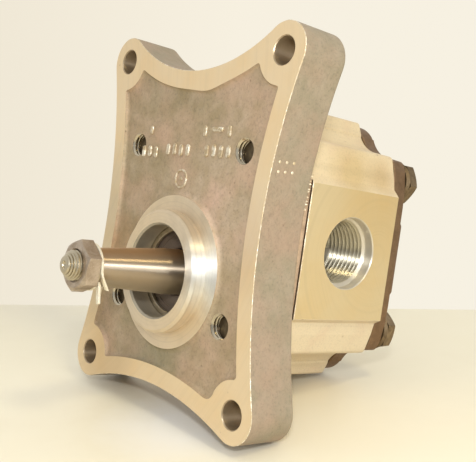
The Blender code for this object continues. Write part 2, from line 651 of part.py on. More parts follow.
# ----------------------------------------------------------------------------
# Through bolts, their washers, and dowel pins
# ----------------------------------------------------------------------------
for k, (x, z) in BOLTS.items():
    ph = radians({"upper_right": -7, "lower_right": 19, "upper_left": 14, "lower_left": 31}[k])
    bolt = hex_piece("through_bolt_" + k, HEAD_AF, HEAD_Y0, HEAD_Y1, ph, False, True, 24)
    shank = turned("shank_tool_" + k, [(0, 4.3), (BOLT_R - 0.9, 4.3), (BOLT_R, 5.2), (BOLT_R, HEAD_Y0 + 2),
                                       (0, HEAD_Y0 + 2)], 18)
    use(bolt, shank, "UNION")
    for ob in (bolt, shank, bpy.data.objects["through_bolt_%s_chamfer_tool" % k]):
        ob.location = (mm(x), 0, mm(z))
    place(bolt, "iron")
    place(turned("bolt_washer_" + k,
                 [(WASHER_R, WASHER_Y0), (WASHER_R, WASHER_Y1), (BOLT_R + GAP, WASHER_Y1),
                  (BOLT_R + GAP, WASHER_Y0)], 24, closed=True, x=x, z=z), "dull")
for k, (x, z) in DOWELS.items():
    place(rod("front_dowel_pin_" + k, 3.0, 15.9, 26.2, x, z, 14), "bright")
    place(rod("rear_dowel_pin_" + k, 3.0, 73.9, 84.0, x, z, 14), "bright")

for ob in parts.objects:
    shade(ob)
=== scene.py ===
"""Looks for the hydraulic gear pump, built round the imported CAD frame.

Lengths in the helpers are millimetres; V() and mm() turn them into metres.
Every piece is made in the frame's own coordinates: the origin is on the drive
shaft's axis at the mounting face, -Y is out along the shaft, +Z is up.
"""

from math import acos, atan2, cos, hypot, pi, radians, sin, sqrt, tan

import bmesh
import bpy
import numpy as np
from mathutils import Matrix, Vector


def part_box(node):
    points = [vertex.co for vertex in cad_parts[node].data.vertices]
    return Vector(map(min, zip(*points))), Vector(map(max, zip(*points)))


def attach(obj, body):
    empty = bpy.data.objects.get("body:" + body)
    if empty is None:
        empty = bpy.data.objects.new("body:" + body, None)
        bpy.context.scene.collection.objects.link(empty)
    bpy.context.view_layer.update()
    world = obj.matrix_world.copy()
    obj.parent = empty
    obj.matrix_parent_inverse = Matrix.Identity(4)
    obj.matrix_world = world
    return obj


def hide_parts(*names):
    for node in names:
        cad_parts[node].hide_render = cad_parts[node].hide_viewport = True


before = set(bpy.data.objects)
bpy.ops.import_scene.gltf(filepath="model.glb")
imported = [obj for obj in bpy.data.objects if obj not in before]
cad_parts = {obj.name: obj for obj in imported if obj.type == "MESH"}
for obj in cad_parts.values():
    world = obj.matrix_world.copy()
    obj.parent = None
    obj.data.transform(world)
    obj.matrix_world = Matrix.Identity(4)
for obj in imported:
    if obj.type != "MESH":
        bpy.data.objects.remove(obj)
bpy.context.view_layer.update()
SCENE = bpy.context.scene
COLL = SCENE.collection


def mm(v):
    return v * 0.001


def extent(node):
    lo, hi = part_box(node)
    return [v * 1000 for v in lo], [v * 1000 for v in hi]


# ----------------------------------------------------------------------------
# Sizes: the CAD boxes give the places, the rest are the part's own dimensions
# ----------------------------------------------------------------------------
F_LO, F_HI = extent("mounting_flange")
B_LO, B_HI = extent("pump_body")
C_LO, C_HI = extent("rear_cover")
S_LO, S_HI = extent("drive_gear_shaft")
N_LO, N_HI = extent("shaft_nut")
W_LO, W_HI = extent("tab_washer")
DV_LO, DV_HI = extent("driven_gear_shaft")
R_LO, R_HI = extent("seal_retaining_ring")

GAP = 0.3
HOLE_X, HOLE_Z, PATTERN_Z = 48.5, 64.0, 20.7
HOLE_R, LOBE_R = 5.1, 10.5
TOP_Z, BOTTOM_Z, SIDE_X = 79.4, -45.0, 49.6
FLANGE_T, PILOT_H = F_HI[1], -F_LO[1]
RECESS_IN, RECESS_BITE, RECESS_D = 7.3, 12.3, 1.5
PAD_R, PILOT_R = 30.2, 24.0
SEAL_BORE_R, SEAL_BORE_END, FLANGE_BORE_R = 18.1, 11.6, 13.0
CENTRE_DIST = 34.0
BODY_Z = CENTRE_DIST / 2
BODY_Y0, BODY_Y1 = B_LO[1], B_HI[1]
BODY_TOP = B_HI[2] - BODY_Z
PAD_X = B_HI[0]
PAD_Y0 = 27.3
CHAMBER_R = 20.15
BOLT_X, BOLT_Z, BOLT_R = 34.0, 32.1, 5.0
PORT_Y = 53.2
COVER_Y0, COVER_Y1, COVER_PAD = C_LO[1], 86.8, C_HI[1]
TEETH, PRESSURE, BACKLASH = 12, radians(22.5), 0.34
MODULE = CENTRE_DIST / TEETH
GEAR_OR, GEAR_RR = MODULE * (TEETH + 2) / 2, MODULE * (TEETH - 2.5) / 2
GEAR_Y0, GEAR_Y1 = 42.7, 63.7
JOURNAL_R = 9.0
STUD_R, STUD_Y0, STUD_Y1 = 5.55, S_LO[1], -34.2
TAPER_R0, TAPER_R1, TAPER_Y1 = 6.94, 8.73, -5.5
NUT_AF, NUT_Y0, NUT_Y1 = 17.0, N_LO[1], N_HI[1]
HEAD_AF = 16.0
BOLTS = {"lower_left": (-BOLT_X, BODY_Z - BOLT_Z), "lower_right": (BOLT_X, BODY_Z - BOLT_Z),
         "upper_left": (-BOLT_X, BODY_Z + BOLT_Z), "upper_right": (BOLT_X, BODY_Z + BOLT_Z)}
HEAD_PHASE = {"upper_right": -7, "lower_right": 19, "upper_left": 14, "lower_left": 31}
DOWELS = {"upper": (0.0, BODY_Z + 46.5), "lower": (0.0, BODY_Z - 46.5)}
MOUNT_HOLES = [(sx * HOLE_X, PATTERN_Z + sz * HOLE_Z) for sz in (1, -1) for sx in (1, -1)]

# ----------------------------------------------------------------------------
# Materials
# ----------------------------------------------------------------------------


def lin(r, g, b):
    """Display colour 0-255 to linear."""
    out = []
    for c in (r, g, b):
        c /= 255.0
        out.append(c / 12.92 if c <= 0.04045 else ((c + 0.055) / 1.055) ** 2.4)
    return (*out, 1.0)


class Mat:
    """Small helper for building a node material."""

    def __init__(self, name):
        self.m = bpy.data.materials.new(name)
        self.m.use_nodes = True
        self.nt = self.m.node_tree
        self.b = self.nt.nodes["Principled BSDF"]
        self._coord = None

    def node(self, kind, props=None, **ins):
        n = self.nt.nodes.new(kind)
        for k, v in (props or {}).items():
            setattr(n, k, v)
        for k, v in ins.items():
            key = int(k[1:]) if k[0] == "_" else k.replace("__", " ")
            self.set(n.inputs[key], v)
        return n

    def set(self, sock, v):
        if isinstance(v, bpy.types.NodeSocket):
            self.nt.links.new(v, sock)
        elif isinstance(v, bpy.types.Node):
            self.nt.links.new(v.outputs[0], sock)
        else:
            sock.default_value = v

    def bsdf(self, **ins):
        for k, v in ins.items():
            self.set(self.b.inputs[k.replace("__", " ")], v)
        return self

    @property
    def pos(self):
        if self._coord is None:
            self._coord = self.nt.nodes.new("ShaderNodeTexCoord")
        return self._coord.outputs["Object"]

    @property
    def obj_normal(self):
        self.pos
        return self._coord.outputs["Normal"]

    def noise(self, scale, detail=2.0, rough=0.5, vec=None, dist=0.0, dims="3D", w=None):
        n = self.node("ShaderNodeTexNoise", {"noise_dimensions": dims}, Scale=scale, Detail=detail,
                      Roughness=rough, Distortion=dist)
        if dims == "1D":
            self.set(n.inputs["W"], w)
        else:
            self.set(n.inputs["Vector"], vec if vec is not None else self.pos)
        return n.outputs["Fac"]

    def ramp(self, fac, stops, mode="LINEAR"):
        n = self.node("ShaderNodeValToRGB", Fac=fac)
        cr = n.color_ramp
        cr.interpolation = mode
        while len(cr.elements) > 1:
            cr.elements.remove(cr.elements[-1])
        for i, (p, c) in enumerate(stops):
            e = cr.elements[0] if i == 0 else cr.elements.new(p)
            e.position = p
            e.color = c if hasattr(c, "__len__") else (c, c, c, 1)
        return n.outputs["Color"]

    def mix(self, fac, a, b, mode="MIX"):
        n = self.node("ShaderNodeMix", {"data_type": "RGBA", "blend_type": mode})
        self.set(n.inputs[0], fac)
        self.set(n.inputs[6], a)
        self.set(n.inputs[7], b)
        return n.outputs[2]

    def math(self, op, a, b=0.0, clamp=False):
        n = self.node("ShaderNodeMath", {"operation": op, "use_clamp": clamp})
        self.set(n.inputs[0], a)
        self.set(n.inputs[1], b)
        return n.outputs[0]

    def vmath(self, op, a, b=(0, 0, 0), out=0):
        n = self.node("ShaderNodeVectorMath", {"operation": op})
        self.set(n.inputs[0], a)
        if len(n.inputs) > 1:
            self.set(n.inputs[1], b)
        return n.outputs[out]

    def band(self, fac, lo, hi, out_lo=0.0, out_hi=1.0):
        n = self.node("ShaderNodeMapRange", {"clamp": True}, Value=fac)
        for k, v in (("From Min", lo), ("From Max", hi), ("To Min", out_lo), ("To Max", out_hi)):
            n.inputs[k].default_value = v
        return n.outputs[0]

    def scaled(self, x, y, z):
        return self.vmath("MULTIPLY", self.pos, (x, y, z))

    def bump(self, height, strength, dist, normal=None):
        n = self.node("ShaderNodeBump", Height=height, Strength=strength, Distance=dist)
        if normal is not None:
            self.set(n.inputs["Normal"], normal)
        return n.outputs["Normal"]

    def tinted(self, col, ragged, light_and_stain_patches):
        """Soft patches that lighten, darken or tint, used for painted light and shade: [(centre mm, reach mm, tone)],
        their borders broken by a noise.
        """
        for at, reach, tone in light_and_stain_patches:
            near = self.node("ShaderNodeVectorMath", {"operation": "LENGTH"})
            self.set(near.inputs[0], self.vmath("SUBTRACT", self.pos, tuple(mm(v) for v in at)))
            d = self.math("ADD", near.outputs["Value"], self.math("MULTIPLY", ragged, mm(reach) * 0.5))
            col = self.mix(self.band(d, mm(reach) * 0.55, mm(reach) * 1.25, 1.0, 0.0), col, self.mix(1.0, col, tone, "MULTIPLY"))
        return col

    def radius(self, centre, axis):
        """Distance from an axis through centre (metres), in the object's own frame."""
        off = self.vmath("SUBTRACT", self.pos, centre)
        keep = {"X": (0, 1, 1), "Y": (1, 0, 1), "Z": (1, 1, 0)}[axis]
        flat = self.vmath("MULTIPLY", off, keep)
        n = self.node("ShaderNodeVectorMath", {"operation": "LENGTH"})
        self.set(n.inputs[0], flat)
        return n.outputs["Value"]

    def turned_tangent(self, centre, axis):
        """Tangent across the tool marks of a turned face, so its glint runs along the axis."""
        off = self.vmath("SUBTRACT", self.pos, centre)
        ax = {"X": (1, 0, 0), "Y": (0, 1, 0), "Z": (0, 0, 1)}[axis]
        round_ = self.vmath("CROSS_PRODUCT", off, ax)
        t = self.vmath("CROSS_PRODUCT", round_, self.obj_normal)
        t = self.vmath("NORMALIZE", t)
        n = self.node("ShaderNodeVectorTransform", {"vector_type": "VECTOR", "convert_from": "OBJECT",
                                                    "convert_to": "WORLD"})
        self.set(n.inputs[0], t)
        return n.outputs[0]


def cast_skin(name, a, b, c, dark=0.82, light_and_stain_patches=()):
    """Sand-cast aluminium skin: mottled, with fine grain, small pits and bright grains."""
    s = Mat(name)
    blotch = s.noise(120.0, 4.0, 0.62, dist=0.3)
    tint = s.noise(46.0, 4.0, 0.6, vec=s.vmath("ADD", s.pos, (0.31, 0.17, 0.53)))
    col = s.mix(s.band(blotch, 0.36, 0.64), a, b)
    col = s.mix(s.math("MULTIPLY", s.band(tint, 0.42, 0.68), 0.6), col, c)
    grain = s.noise(1100.0, 3.0, 0.65)
    col = s.mix(0.75, col, s.ramp(grain, [(0.28, dark), (0.5, 1.0), (0.74, 1.0)]), "MULTIPLY")
    fine = s.noise(520.0, 2.0, 0.6, vec=s.vmath("ADD", s.pos, (0.7, 0.2, 0.4)))
    col = s.mix(0.6, col, s.ramp(fine, [(0.3, 0.86), (0.52, 1.0), (0.75, 1.0)]), "MULTIPLY")
    vor = s.node("ShaderNodeTexVoronoi", {"feature": "F1"}, Vector=s.pos, Scale=260.0, Randomness=1.0)
    pit = s.ramp(vor.outputs["Distance"], [(0.05, 1.0), (0.13, 0.0)])
    keep = s.ramp(s.noise(60.0, 2.0, 0.5, vec=s.vmath("ADD", s.pos, (0.1, 0.9, 0.2))), [(0.50, 0.0), (0.62, 1.0)])
    pits = s.math("MULTIPLY", pit, keep)
    col = s.mix(s.math("MULTIPLY", pits, 0.55), col, lin(110, 92, 66))
    col = s.tinted(col, blotch, light_and_stain_patches)
    rough = s.band(grain, 0.3, 0.7, 0.50, 0.68)
    height = s.math("ADD", s.math("MULTIPLY", grain, 0.7), s.math("MULTIPLY", fine, 0.8))
    height = s.math("SUBTRACT", height, s.math("MULTIPLY", pits, 1.2))
    n = s.bump(s.noise(160.0, 2.0, 0.5), 0.35, 0.0006)
    n = s.bump(height, 0.55, 0.00022, n)
    s.bsdf(Base__Color=col, Metallic=0.25, Roughness=rough, Normal=n)
    s.b.inputs["Specular IOR Level"].default_value = 0.45
    return s.m


def milled(name, base, centre, axis, second=None, rough=0.36, marks=0.35, metal=0.55, skin=False, light_and_stain_patches=()):
    """Milled aluminium: arcs left by a large cutter, faint stains and a few nicks."""
    s = Mat(name)
    r = s.radius(tuple(mm(v) for v in centre), axis)
    lines = s.noise(1.0, 3.0, 0.6, dims="1D", w=s.math("MULTIPLY", r, 1500.0))
    broad = s.noise(1.0, 2.0, 0.5, dims="1D", w=s.math("MULTIPLY", r, 330.0))
    if second is not None:
        r2 = s.radius(tuple(mm(v) for v in second), axis)
        lines2 = s.noise(1.0, 3.0, 0.6, dims="1D", w=s.math("MULTIPLY", r2, 1300.0))
        where = s.band(s.noise(38.0, 1.0, 0.5), 0.42, 0.6)
        mixn = s.node("ShaderNodeMix", {"data_type": "FLOAT"})
        s.set(mixn.inputs[0], where)
        s.set(mixn.inputs[2], lines)
        s.set(mixn.inputs[3], lines2)
        lines = mixn.outputs[0]
    stain = s.noise(45.0, 3.0, 0.6, dist=0.3)
    dark = tuple(v * 0.86 for v in base[:3]) + (1,)
    warm = (base[0] * 1.0, base[1] * 0.95, base[2] * 0.86, 1)
    col = s.mix(s.band(stain, 0.4, 0.7), base, warm)
    col = s.mix(s.math("MULTIPLY", s.band(broad, 0.5, 0.8), 0.35), col, dark)
    col = s.mix(s.math("MULTIPLY", s.band(lines, 0.52, 0.75), marks * 0.6), col, dark)
    col = s.tinted(col, stain, light_and_stain_patches)
    vor = s.node("ShaderNodeTexVoronoi", {"feature": "F1"}, Vector=s.pos, Scale=150.0, Randomness=1.0)
    spot = s.ramp(vor.outputs["Distance"], [(0.02, 1.0), (0.07, 0.0)])
    few = s.ramp(s.noise(33.0, 1.0, 0.5, vec=s.vmath("ADD", s.pos, (0.4, 0.3, 0.1))), [(0.56, 0.0), (0.6, 1.0)])
    spots = s.math("MULTIPLY", spot, few)
    col = s.mix(s.math("MULTIPLY", spots, 0.5), col, lin(130, 108, 74))
    fine = s.noise(1500.0, 2.0, 0.6)
    rr = s.math("ADD", rough - 0.06, s.math("MULTIPLY", lines, 0.14))
    height = s.math("ADD", s.math("MULTIPLY", lines, marks), s.math("MULTIPLY", fine, 0.12 if not skin else 0.5))
    height = s.math("SUBTRACT", height, s.math("MULTIPLY", spots, 0.6))
    n = s.bump(height, 0.30, 0.00009)
    s.bsdf(Base__Color=col, Metallic=metal, Roughness=rr, Normal=n)
    return s.m


def extruded_skin(name, base, high=(0, 1), tone=(1, 1, 1, 1), light_and_stain_patches=()):
    """Drawn aluminium skin: fine lines along the profile, smudges and small scars, with painted light by height: cooler
    low down, the given tone high up.
    """
    s = Mat(name)
    draw = s.noise(1.0, 4.0, 0.6, vec=s.scaled(1900.0, 40.0, 1900.0))
    wide = s.noise(1.0, 2.0, 0.5, vec=s.scaled(260.0, 9.0, 260.0))
    grain = s.noise(1300.0, 3.0, 0.65)
    smudge = s.noise(55.0, 4.0, 0.65, dist=0.5)
    pinkish = (base[0] * 0.93, base[1] * 0.86, base[2] * 0.86, 1)
    dark = tuple(v * 0.74 for v in base[:3]) + (1,)
    col = s.mix(s.math("MULTIPLY", s.band(smudge, 0.48, 0.72), 0.8), base, pinkish)
    col = s.mix(s.math("MULTIPLY", s.band(wide, 0.5, 0.75), 0.35), col, dark)
    col = s.mix(0.7, col, s.ramp(grain, [(0.3, 0.80), (0.52, 1.0)]), "MULTIPLY")
    sep = s.node("ShaderNodeSeparateXYZ")
    s.set(sep.inputs[0], s.pos)
    # painted light by height: cooler low down, the given tone high up
    up = s.math("ADD", sep.outputs["Z"], s.math("MULTIPLY", smudge, 0.008))
    col = s.mix(s.band(up, mm(high[0]), mm(high[1])), s.mix(1.0, col, (0.95, 0.97, 1.0, 1), "MULTIPLY"), s.mix(1.0, col, tone, "MULTIPLY"))
    col = s.tinted(col, smudge, light_and_stain_patches)
    vor = s.node("ShaderNodeTexVoronoi", {"feature": "F1"}, Vector=s.pos, Scale=230.0, Randomness=1.0)
    scar = s.ramp(vor.outputs["Distance"], [(0.05, 1.0), (0.16, 0.0)])
    few = s.ramp(s.noise(48.0, 2.0, 0.5, vec=s.vmath("ADD", s.pos, (0.6, 0.1, 0.4))), [(0.50, 0.0), (0.58, 1.0)])
    scars = s.math("MULTIPLY", scar, few)
    col = s.mix(s.math("MULTIPLY", scars, 0.6), col, lin(150, 118, 84))
    h = s.math("ADD", s.math("MULTIPLY", draw, 0.5), s.math("MULTIPLY", grain, 0.8))
    h = s.math("SUBTRACT", h, s.math("MULTIPLY", scars, 1.0))
    s.bsdf(Base__Color=col, Metallic=0.35, Roughness=s.band(grain, 0.3, 0.7, 0.40, 0.56), Normal=s.bump(h, 0.45, 0.00016))
    return s.m


def edge_metal(name, bright, dull, low=0.22, smooth=0.32):
    """A broken cast edge: bright where it was rubbed, dull between."""
    s = Mat(name)
    n1 = s.noise(420.0, 3.0, 0.65)
    n2 = s.noise(60.0, 2.0, 0.5)
    keep = s.math("MULTIPLY", s.band(n1, 0.44, 0.60), s.band(n2, 0.36, 0.62, 0.35, 1.0))
    s.bsdf(Base__Color=s.mix(keep, dull, bright), Metallic=s.band(keep, 0.0, 1.0, low, 0.9), Roughness=s.band(n1, 0.3, 0.7, 0.52, smooth),
           Normal=s.bump(n1, 0.6, 0.0002))
    return s.m


def turned_metal(name, base, centre=(0, 0, 0), axis="Y", rough=0.24, aniso=0.75, metal=1.0, rings=0.35,
                 freq=2600.0, stain=0.25, dark=0.62, painted_reflection_by_facing=None, light_and_stain_patches=()):
    """Turned or ground metal: rings round the axis, with the stretched glint they give."""
    s = Mat(name)
    c = tuple(mm(v) for v in centre)
    r = s.radius(c, axis)
    sep = s.node("ShaderNodeSeparateXYZ")
    s.set(sep.inputs[0], s.pos)
    a = sep.outputs[axis]
    w = s.math("ADD", s.math("MULTIPLY", r, freq), s.math("MULTIPLY", a, freq))
    lines = s.noise(1.0, 3.0, 0.6, dims="1D", w=w)
    patch = s.noise(120.0, 3.0, 0.6, dist=0.5)
    low = tuple(v * dark for v in base[:3]) + (1,)
    col = s.mix(s.math("MULTIPLY", s.band(patch, 0.45, 0.75), stain), base, low)
    col = s.mix(s.math("MULTIPLY", s.band(lines, 0.5, 0.8), rings * 0.5), col, low)
    # painted reflection and shade by facing: faces turned up take the first tone, faces turned down the second
    if painted_reflection_by_facing is not None:
        nz = s.node("ShaderNodeSeparateXYZ")
        s.set(nz.inputs[0], s.obj_normal)
        col = s.mix(s.band(nz.outputs["Z"], 0.45, 0.85), col, s.mix(1.0, col, painted_reflection_by_facing[0], "MULTIPLY"))
        col = s.mix(s.band(nz.outputs["Z"], -0.2, -0.75), col, s.mix(1.0, col, painted_reflection_by_facing[1], "MULTIPLY"))
    col = s.tinted(col, patch, light_and_stain_patches)
    rr = s.math("ADD", rough - 0.04, s.math("MULTIPLY", patch, 0.08))
    n = s.bump(lines, rings, 0.00004)
    s.bsdf(Base__Color=col, Metallic=metal, Roughness=rr, Normal=n)
    s.b.inputs["Anisotropic"].default_value = aniso
    s.set(s.b.inputs["Tangent"], s.turned_tangent(c, axis))
    return s.m


def dull_steel(name, base, low, rough=0.42, metal=0.85, scale=420.0, bump=0.3, streak=None, light_and_stain_patches=()):
    """Plain steel with an oily, worn skin."""
    s = Mat(name)
    patch = s.noise(scale * 0.35, 4.0, 0.6, dist=0.6)
    col = s.mix(s.band(patch, 0.36, 0.68), base, low)
    fine = s.noise(scale * 4.0, 3.0, 0.65, vec=None if streak is None else s.scaled(*streak))
    col = s.mix(0.6, col, s.ramp(fine, [(0.3, 0.72), (0.55, 1.0)]), "MULTIPLY")
    bright = s.ramp(s.noise(scale * 1.3, 2.0, 0.5, vec=s.vmath("ADD", s.pos, (0.2, 0.5, 0.8))), [(0.66, 0.0), (0.74, 1.0)])
    col = s.mix(s.math("MULTIPLY", bright, 0.25), col, (*[min(1.0, v * 1.5) for v in base[:3]], 1))
    col = s.tinted(col, patch, light_and_stain_patches)
    rr = s.math("ADD", rough - 0.08, s.math("MULTIPLY", patch, 0.2))
    n = s.bump(s.math("ADD", fine, patch), bump, 0.00012)
    s.bsdf(Base__Color=col, Metallic=metal, Roughness=rr, Normal=n)
    return s.m


def rubber(name, base=(0.022, 0.02, 0.018, 1)):
    s = Mat(name)
    n1 = s.noise(900.0, 3.0, 0.6)
    dust = s.noise(150.0, 3.0, 0.6)
    col = s.mix(s.math("MULTIPLY", s.band(dust, 0.5, 0.8), 0.35), base, (0.12, 0.105, 0.08, 1))
    s.bsdf(Base__Color=col, Roughness=s.band(n1, 0.3, 0.7, 0.42, 0.62), Normal=s.bump(n1, 0.25, 0.00008))
    return s.m


def plastic(name, base):
    s = Mat(name)
    n1 = s.noise(700.0, 3.0, 0.6)
    col = s.mix(s.math("MULTIPLY", n1, 0.3), base, tuple(v * 0.7 for v in base[:3]) + (1,))
    s.bsdf(Base__Color=col, Roughness=s.band(n1, 0.3, 0.7, 0.4, 0.55), Normal=s.bump(n1, 0.2, 0.00006))
    return s.m


M = {}
# painted light on the cast field: lighter and cooler right of the pilot and up to the right; the patches to the left
# and below are darker
M["cast"] = cast_skin("cast_skin", lin(158, 140, 108), lin(176, 157, 130), lin(198, 164, 140), 0.64,
                      [((18, 1.5, 24), 36, (1.24, 1.23, 1.36, 1)), ((30, 1.5, 62), 20, (1.10, 1.08, 1.14, 1)),
                       ((-36, 1.5, 6), 18, (0.90, 0.83, 0.72, 1)), ((-6, 1.5, -34), 28, (0.80, 0.87, 0.86, 1))])
# painted shade: a darker copy of the cast skin, for the flange's outer rim
M["cast_side"] = cast_skin("cast_side", lin(148, 136, 113), lin(160, 145, 124), lin(172, 143, 122), 0.70)
# painted shade on the milled border: darker towards the left and lower left; a slightly darker, cooler patch on the
# right
M["border"] = milled("milled_border", lin(231, 208, 172), (-120, 0, 60), "Y", rough=0.40, marks=0.22,
                     light_and_stain_patches=[((-48, 0, 10), 46, (0.80, 0.82, 0.84, 1)), ((-34, 0, -42), 26, (0.84, 0.80, 0.74, 1)), ((40, 0, 18), 22, (0.92, 0.93, 1.0, 1))])
# a darker, warmer patch at the top of the pad
M["pad"] = milled("fly_cut_pad", lin(207, 187, 147), (0, 70, 17), "X", (0, 150, 60), rough=0.42, marks=0.5,
                  light_and_stain_patches=[((49, 66, 38), 30, (0.95, 0.90, 0.80, 1))])
# painted light on the body skin: cooler below 20 mm, darker and warmer above 50 mm; two darker, warmer patches by the
# upper right bolt
M["extruded"] = extruded_skin("extruded_skin", lin(224, 205, 172), (20, 50), (0.94, 0.92, 0.86, 1),
                              [((41, 52, 49), 15, (0.86, 0.80, 0.66, 1)), ((41, 70, 49), 10, (0.84, 0.78, 0.68, 1))])
M["faced"] = milled("faced_end", lin(214, 190, 145), (0, 0, BODY_Z), "Y", rough=0.38, marks=0.4)
M["cast_raised"] = cast_skin("cast_raised", lin(206, 190, 158), lin(216, 196, 166), lin(214, 190, 164), 0.9)
M["edge"] = edge_metal("bright_edge", lin(250, 242, 224), lin(196, 174, 138))
M["mark"] = edge_metal("raised_mark", lin(246, 238, 220), lin(176, 156, 124), 0.30, 0.30)
# painted highlight: the turned face is lightened and whitened on the pilot's right side, where its glint falls
M["turned"] = turned_metal("turned_face", lin(236, 218, 191), rough=0.45, aniso=0.92, metal=0.88, rings=1.0,
                           freq=700.0, stain=0.45, dark=0.76, light_and_stain_patches=[((29, -1, 3), 19, (1.08, 1.26, 1.58, 1))])
M["bore"] = turned_metal("bore_wall", lin(184, 174, 156), rough=0.38, aniso=0.8, metal=0.7, rings=0.5, stain=0.6,
                         dark=0.6)
M["hole"] = turned_metal("drilled_hole", lin(184, 164, 136), rough=0.38, aniso=0.8, metal=0.8, rings=0.3,
                         freq=1500, stain=0.4, dark=0.6)
M["thread"] = turned_metal("cut_thread", lin(206, 194, 172), rough=0.22, aniso=0.2, metal=1.0, rings=0.2, stain=0.7, freq=1400.0, dark=0.42)
M["port_thread"] = turned_metal("port_thread", lin(208, 199, 177), (0, PORT_Y, BODY_Z), "X", rough=0.40, aniso=0.95,
                                rings=0.1, stain=0.15, dark=0.8)
M["port_mouth"] = turned_metal("port_mouth", lin(222, 213, 196), (0, PORT_Y, BODY_Z), "X", rough=0.42, aniso=0.9,
                               metal=0.8, rings=0.4, stain=0.2, dark=0.8)
# painted light: the cover is lightened at the lower right, where the table's bounce falls
M["iron"] = dull_steel("cast_iron_cover", lin(134, 107, 80), lin(118, 93, 69), rough=0.5, metal=0.8, scale=640.0,
                       bump=0.6, light_and_stain_patches=[((40, 84, -16), 34, (1.06, 1.04, 1.02, 1))])
M["iron_faced"] = dull_steel("cover_faced", lin(140, 118, 92), lin(118, 97, 72), rough=0.42, metal=0.6, scale=760.0)
# painted reflection and shade on the shaft: browner on top, where it mirrors the flange, darker underneath
M["shaft"] = turned_metal("ground_shaft", lin(194, 176, 153), rough=0.40, aniso=1.0, rings=0.10, freq=2600.0,
                          stain=0.25, dark=0.8, painted_reflection_by_facing=((1.0, 0.76, 0.52, 1), (0.74, 0.76, 0.76, 1)))
M["stud"] = turned_metal("stud_thread", lin(197, 186, 164), rough=0.35, aniso=0.3, rings=0.25, stain=0.5, freq=1500.0)
M["gear"] = turned_metal("gear_flank", lin(176, 168, 150), rough=0.26, aniso=0.3, rings=0.15, stain=0.2)
M["nut"] = dull_steel("nut_steel", lin(193, 177, 160), lin(157, 138, 118), rough=0.34, metal=0.85, scale=500.0)
# painted light: the lower right bolt head is lightened
M["bolt"] = dull_steel("bolt_steel", lin(134, 114, 86), lin(108, 90, 66), rough=0.46, metal=0.9, scale=900.0, light_and_stain_patches=[((36, 90, -16), 16, (1.30, 1.32, 1.38, 1))])
M["bolt_thread"] = dull_steel("bolt_thread", lin(104, 90, 68), lin(70, 58, 42), rough=0.36, metal=0.8, scale=600.0)
M["washer"] = dull_steel("washer_steel", lin(120, 101, 76), lin(98, 82, 60), rough=0.46, metal=0.85, scale=700.0)
M["tab"] = dull_steel("tab_steel", lin(252, 244, 224), lin(228, 216, 190), rough=0.34, metal=0.6, scale=700.0, bump=0.15)
M["spring"] = dull_steel("ring_steel", lin(206, 194, 172), lin(170, 156, 132), rough=0.30, metal=0.9, scale=800.0, bump=0.15)
# painted shade: near black, for the wall of the gap behind the flange
M["gap_shade"] = dull_steel("seam_grime", lin(74, 58, 40), lin(52, 40, 28), rough=0.6, metal=0.2, scale=700.0)
M["seam"] = dull_steel("seam_skin", lin(196, 168, 140), lin(164, 138, 112), rough=0.6, metal=0.1, scale=500.0)
M["key"] = dull_steel("key_steel", lin(176, 160, 134), lin(140, 124, 98), rough=0.3, metal=0.9, scale=600.0)
M["bearing"] = turned_metal("bearing_block", lin(196, 186, 160), rough=0.35, aniso=0.3, rings=0.3, stain=0.3, dark=0.7)
M["bronze"] = turned_metal("bronze_bush", lin(196, 148, 88), rough=0.3, aniso=0.4, rings=0.3, stain=0.3)
M["rubber"] = rubber("seal_rubber")
M["seal_case"] = rubber("shaft_seal_rubber", (0.125, 0.088, 0.062, 1))
M["plastic"] = plastic("backup_plastic", lin(214, 205, 178))

# ----------------------------------------------------------------------------
# Mesh tools
# ----------------------------------------------------------------------------


def to_object(name, verts, faces, mat=None, metres=False):
    me = bpy.data.meshes.new(name)
    k = 1.0 if metres else 0.001
    me.from_pydata([(x * k, y * k, z * k) for x, y, z in verts], [], faces)
    bm = bmesh.new()
    bm.from_mesh(me)
    bmesh.ops.remove_doubles(bm, verts=bm.verts, dist=1e-7)
    bmesh.ops.recalc_face_normals(bm, faces=bm.faces)
    bm.to_mesh(me)
    bm.free()
    ob = bpy.data.objects.new(name, me)
    COLL.objects.link(ob)
    if mat:
        me.materials.append(M[mat])
    return ob


def loft(name, loops, mat=None, closed=False):
    """Closed loops with equal point counts, bridged in order and capped."""
    n = len(loops[0])
    verts = [p for lp in loops for p in lp]
    faces = []
    rows = len(loops) if closed else len(loops) - 1
    for j in range(rows):
        a, b = j * n, ((j + 1) % len(loops)) * n
        for i in range(n):
            k = (i + 1) % n
            faces.append((a + i, a + k, b + k, b + i))
    if not closed:
        faces.append(tuple(range(n)))
        faces.append(tuple(range((len(loops) - 1) * n, len(loops) * n)))
    return to_object(name, verts, faces, mat)


def turn(name, profile, segs=96, mat=None, axis="Y", centre=(0, 0, 0), closed=False, phase=0.0):
    """A turned solid from (radius, distance along the axis) points."""
    verts, rows = [], []
    for r, a in profile:
        if r < 1e-6:
            rows.append([len(verts)])
            verts.append((0.0, a, 0.0))
        else:
            rows.append(list(range(len(verts), len(verts) + segs)))
            verts += [(r * cos(phase + 2 * pi * i / segs), a, r * sin(phase + 2 * pi * i / segs)) for i in range(segs)]
    faces = []
    pairs = list(zip(rows, rows[1:])) + ([(rows[-1], rows[0])] if closed else [])
    for p, q in pairs:
        for i in range(segs):
            k = (i + 1) % segs
            if len(p) == 1 and len(q) == 1:
                continue
            if len(p) == 1:
                faces.append((p[0], q[k], q[i]))
            elif len(q) == 1:
                faces.append((p[i], p[k], q[0]))
            else:
                faces.append((p[i], p[k], q[k], q[i]))
    if not closed:
        for row in (rows[0], rows[-1]):
            if len(row) > 1:
                faces.append(tuple(row))
    if axis == "X":
        verts = [(a, x, z) for x, a, z in verts]
    cx, cy, cz = centre
    return to_object(name, [(x + cx, y + cy, z + cz) for x, y, z in verts], faces, mat)


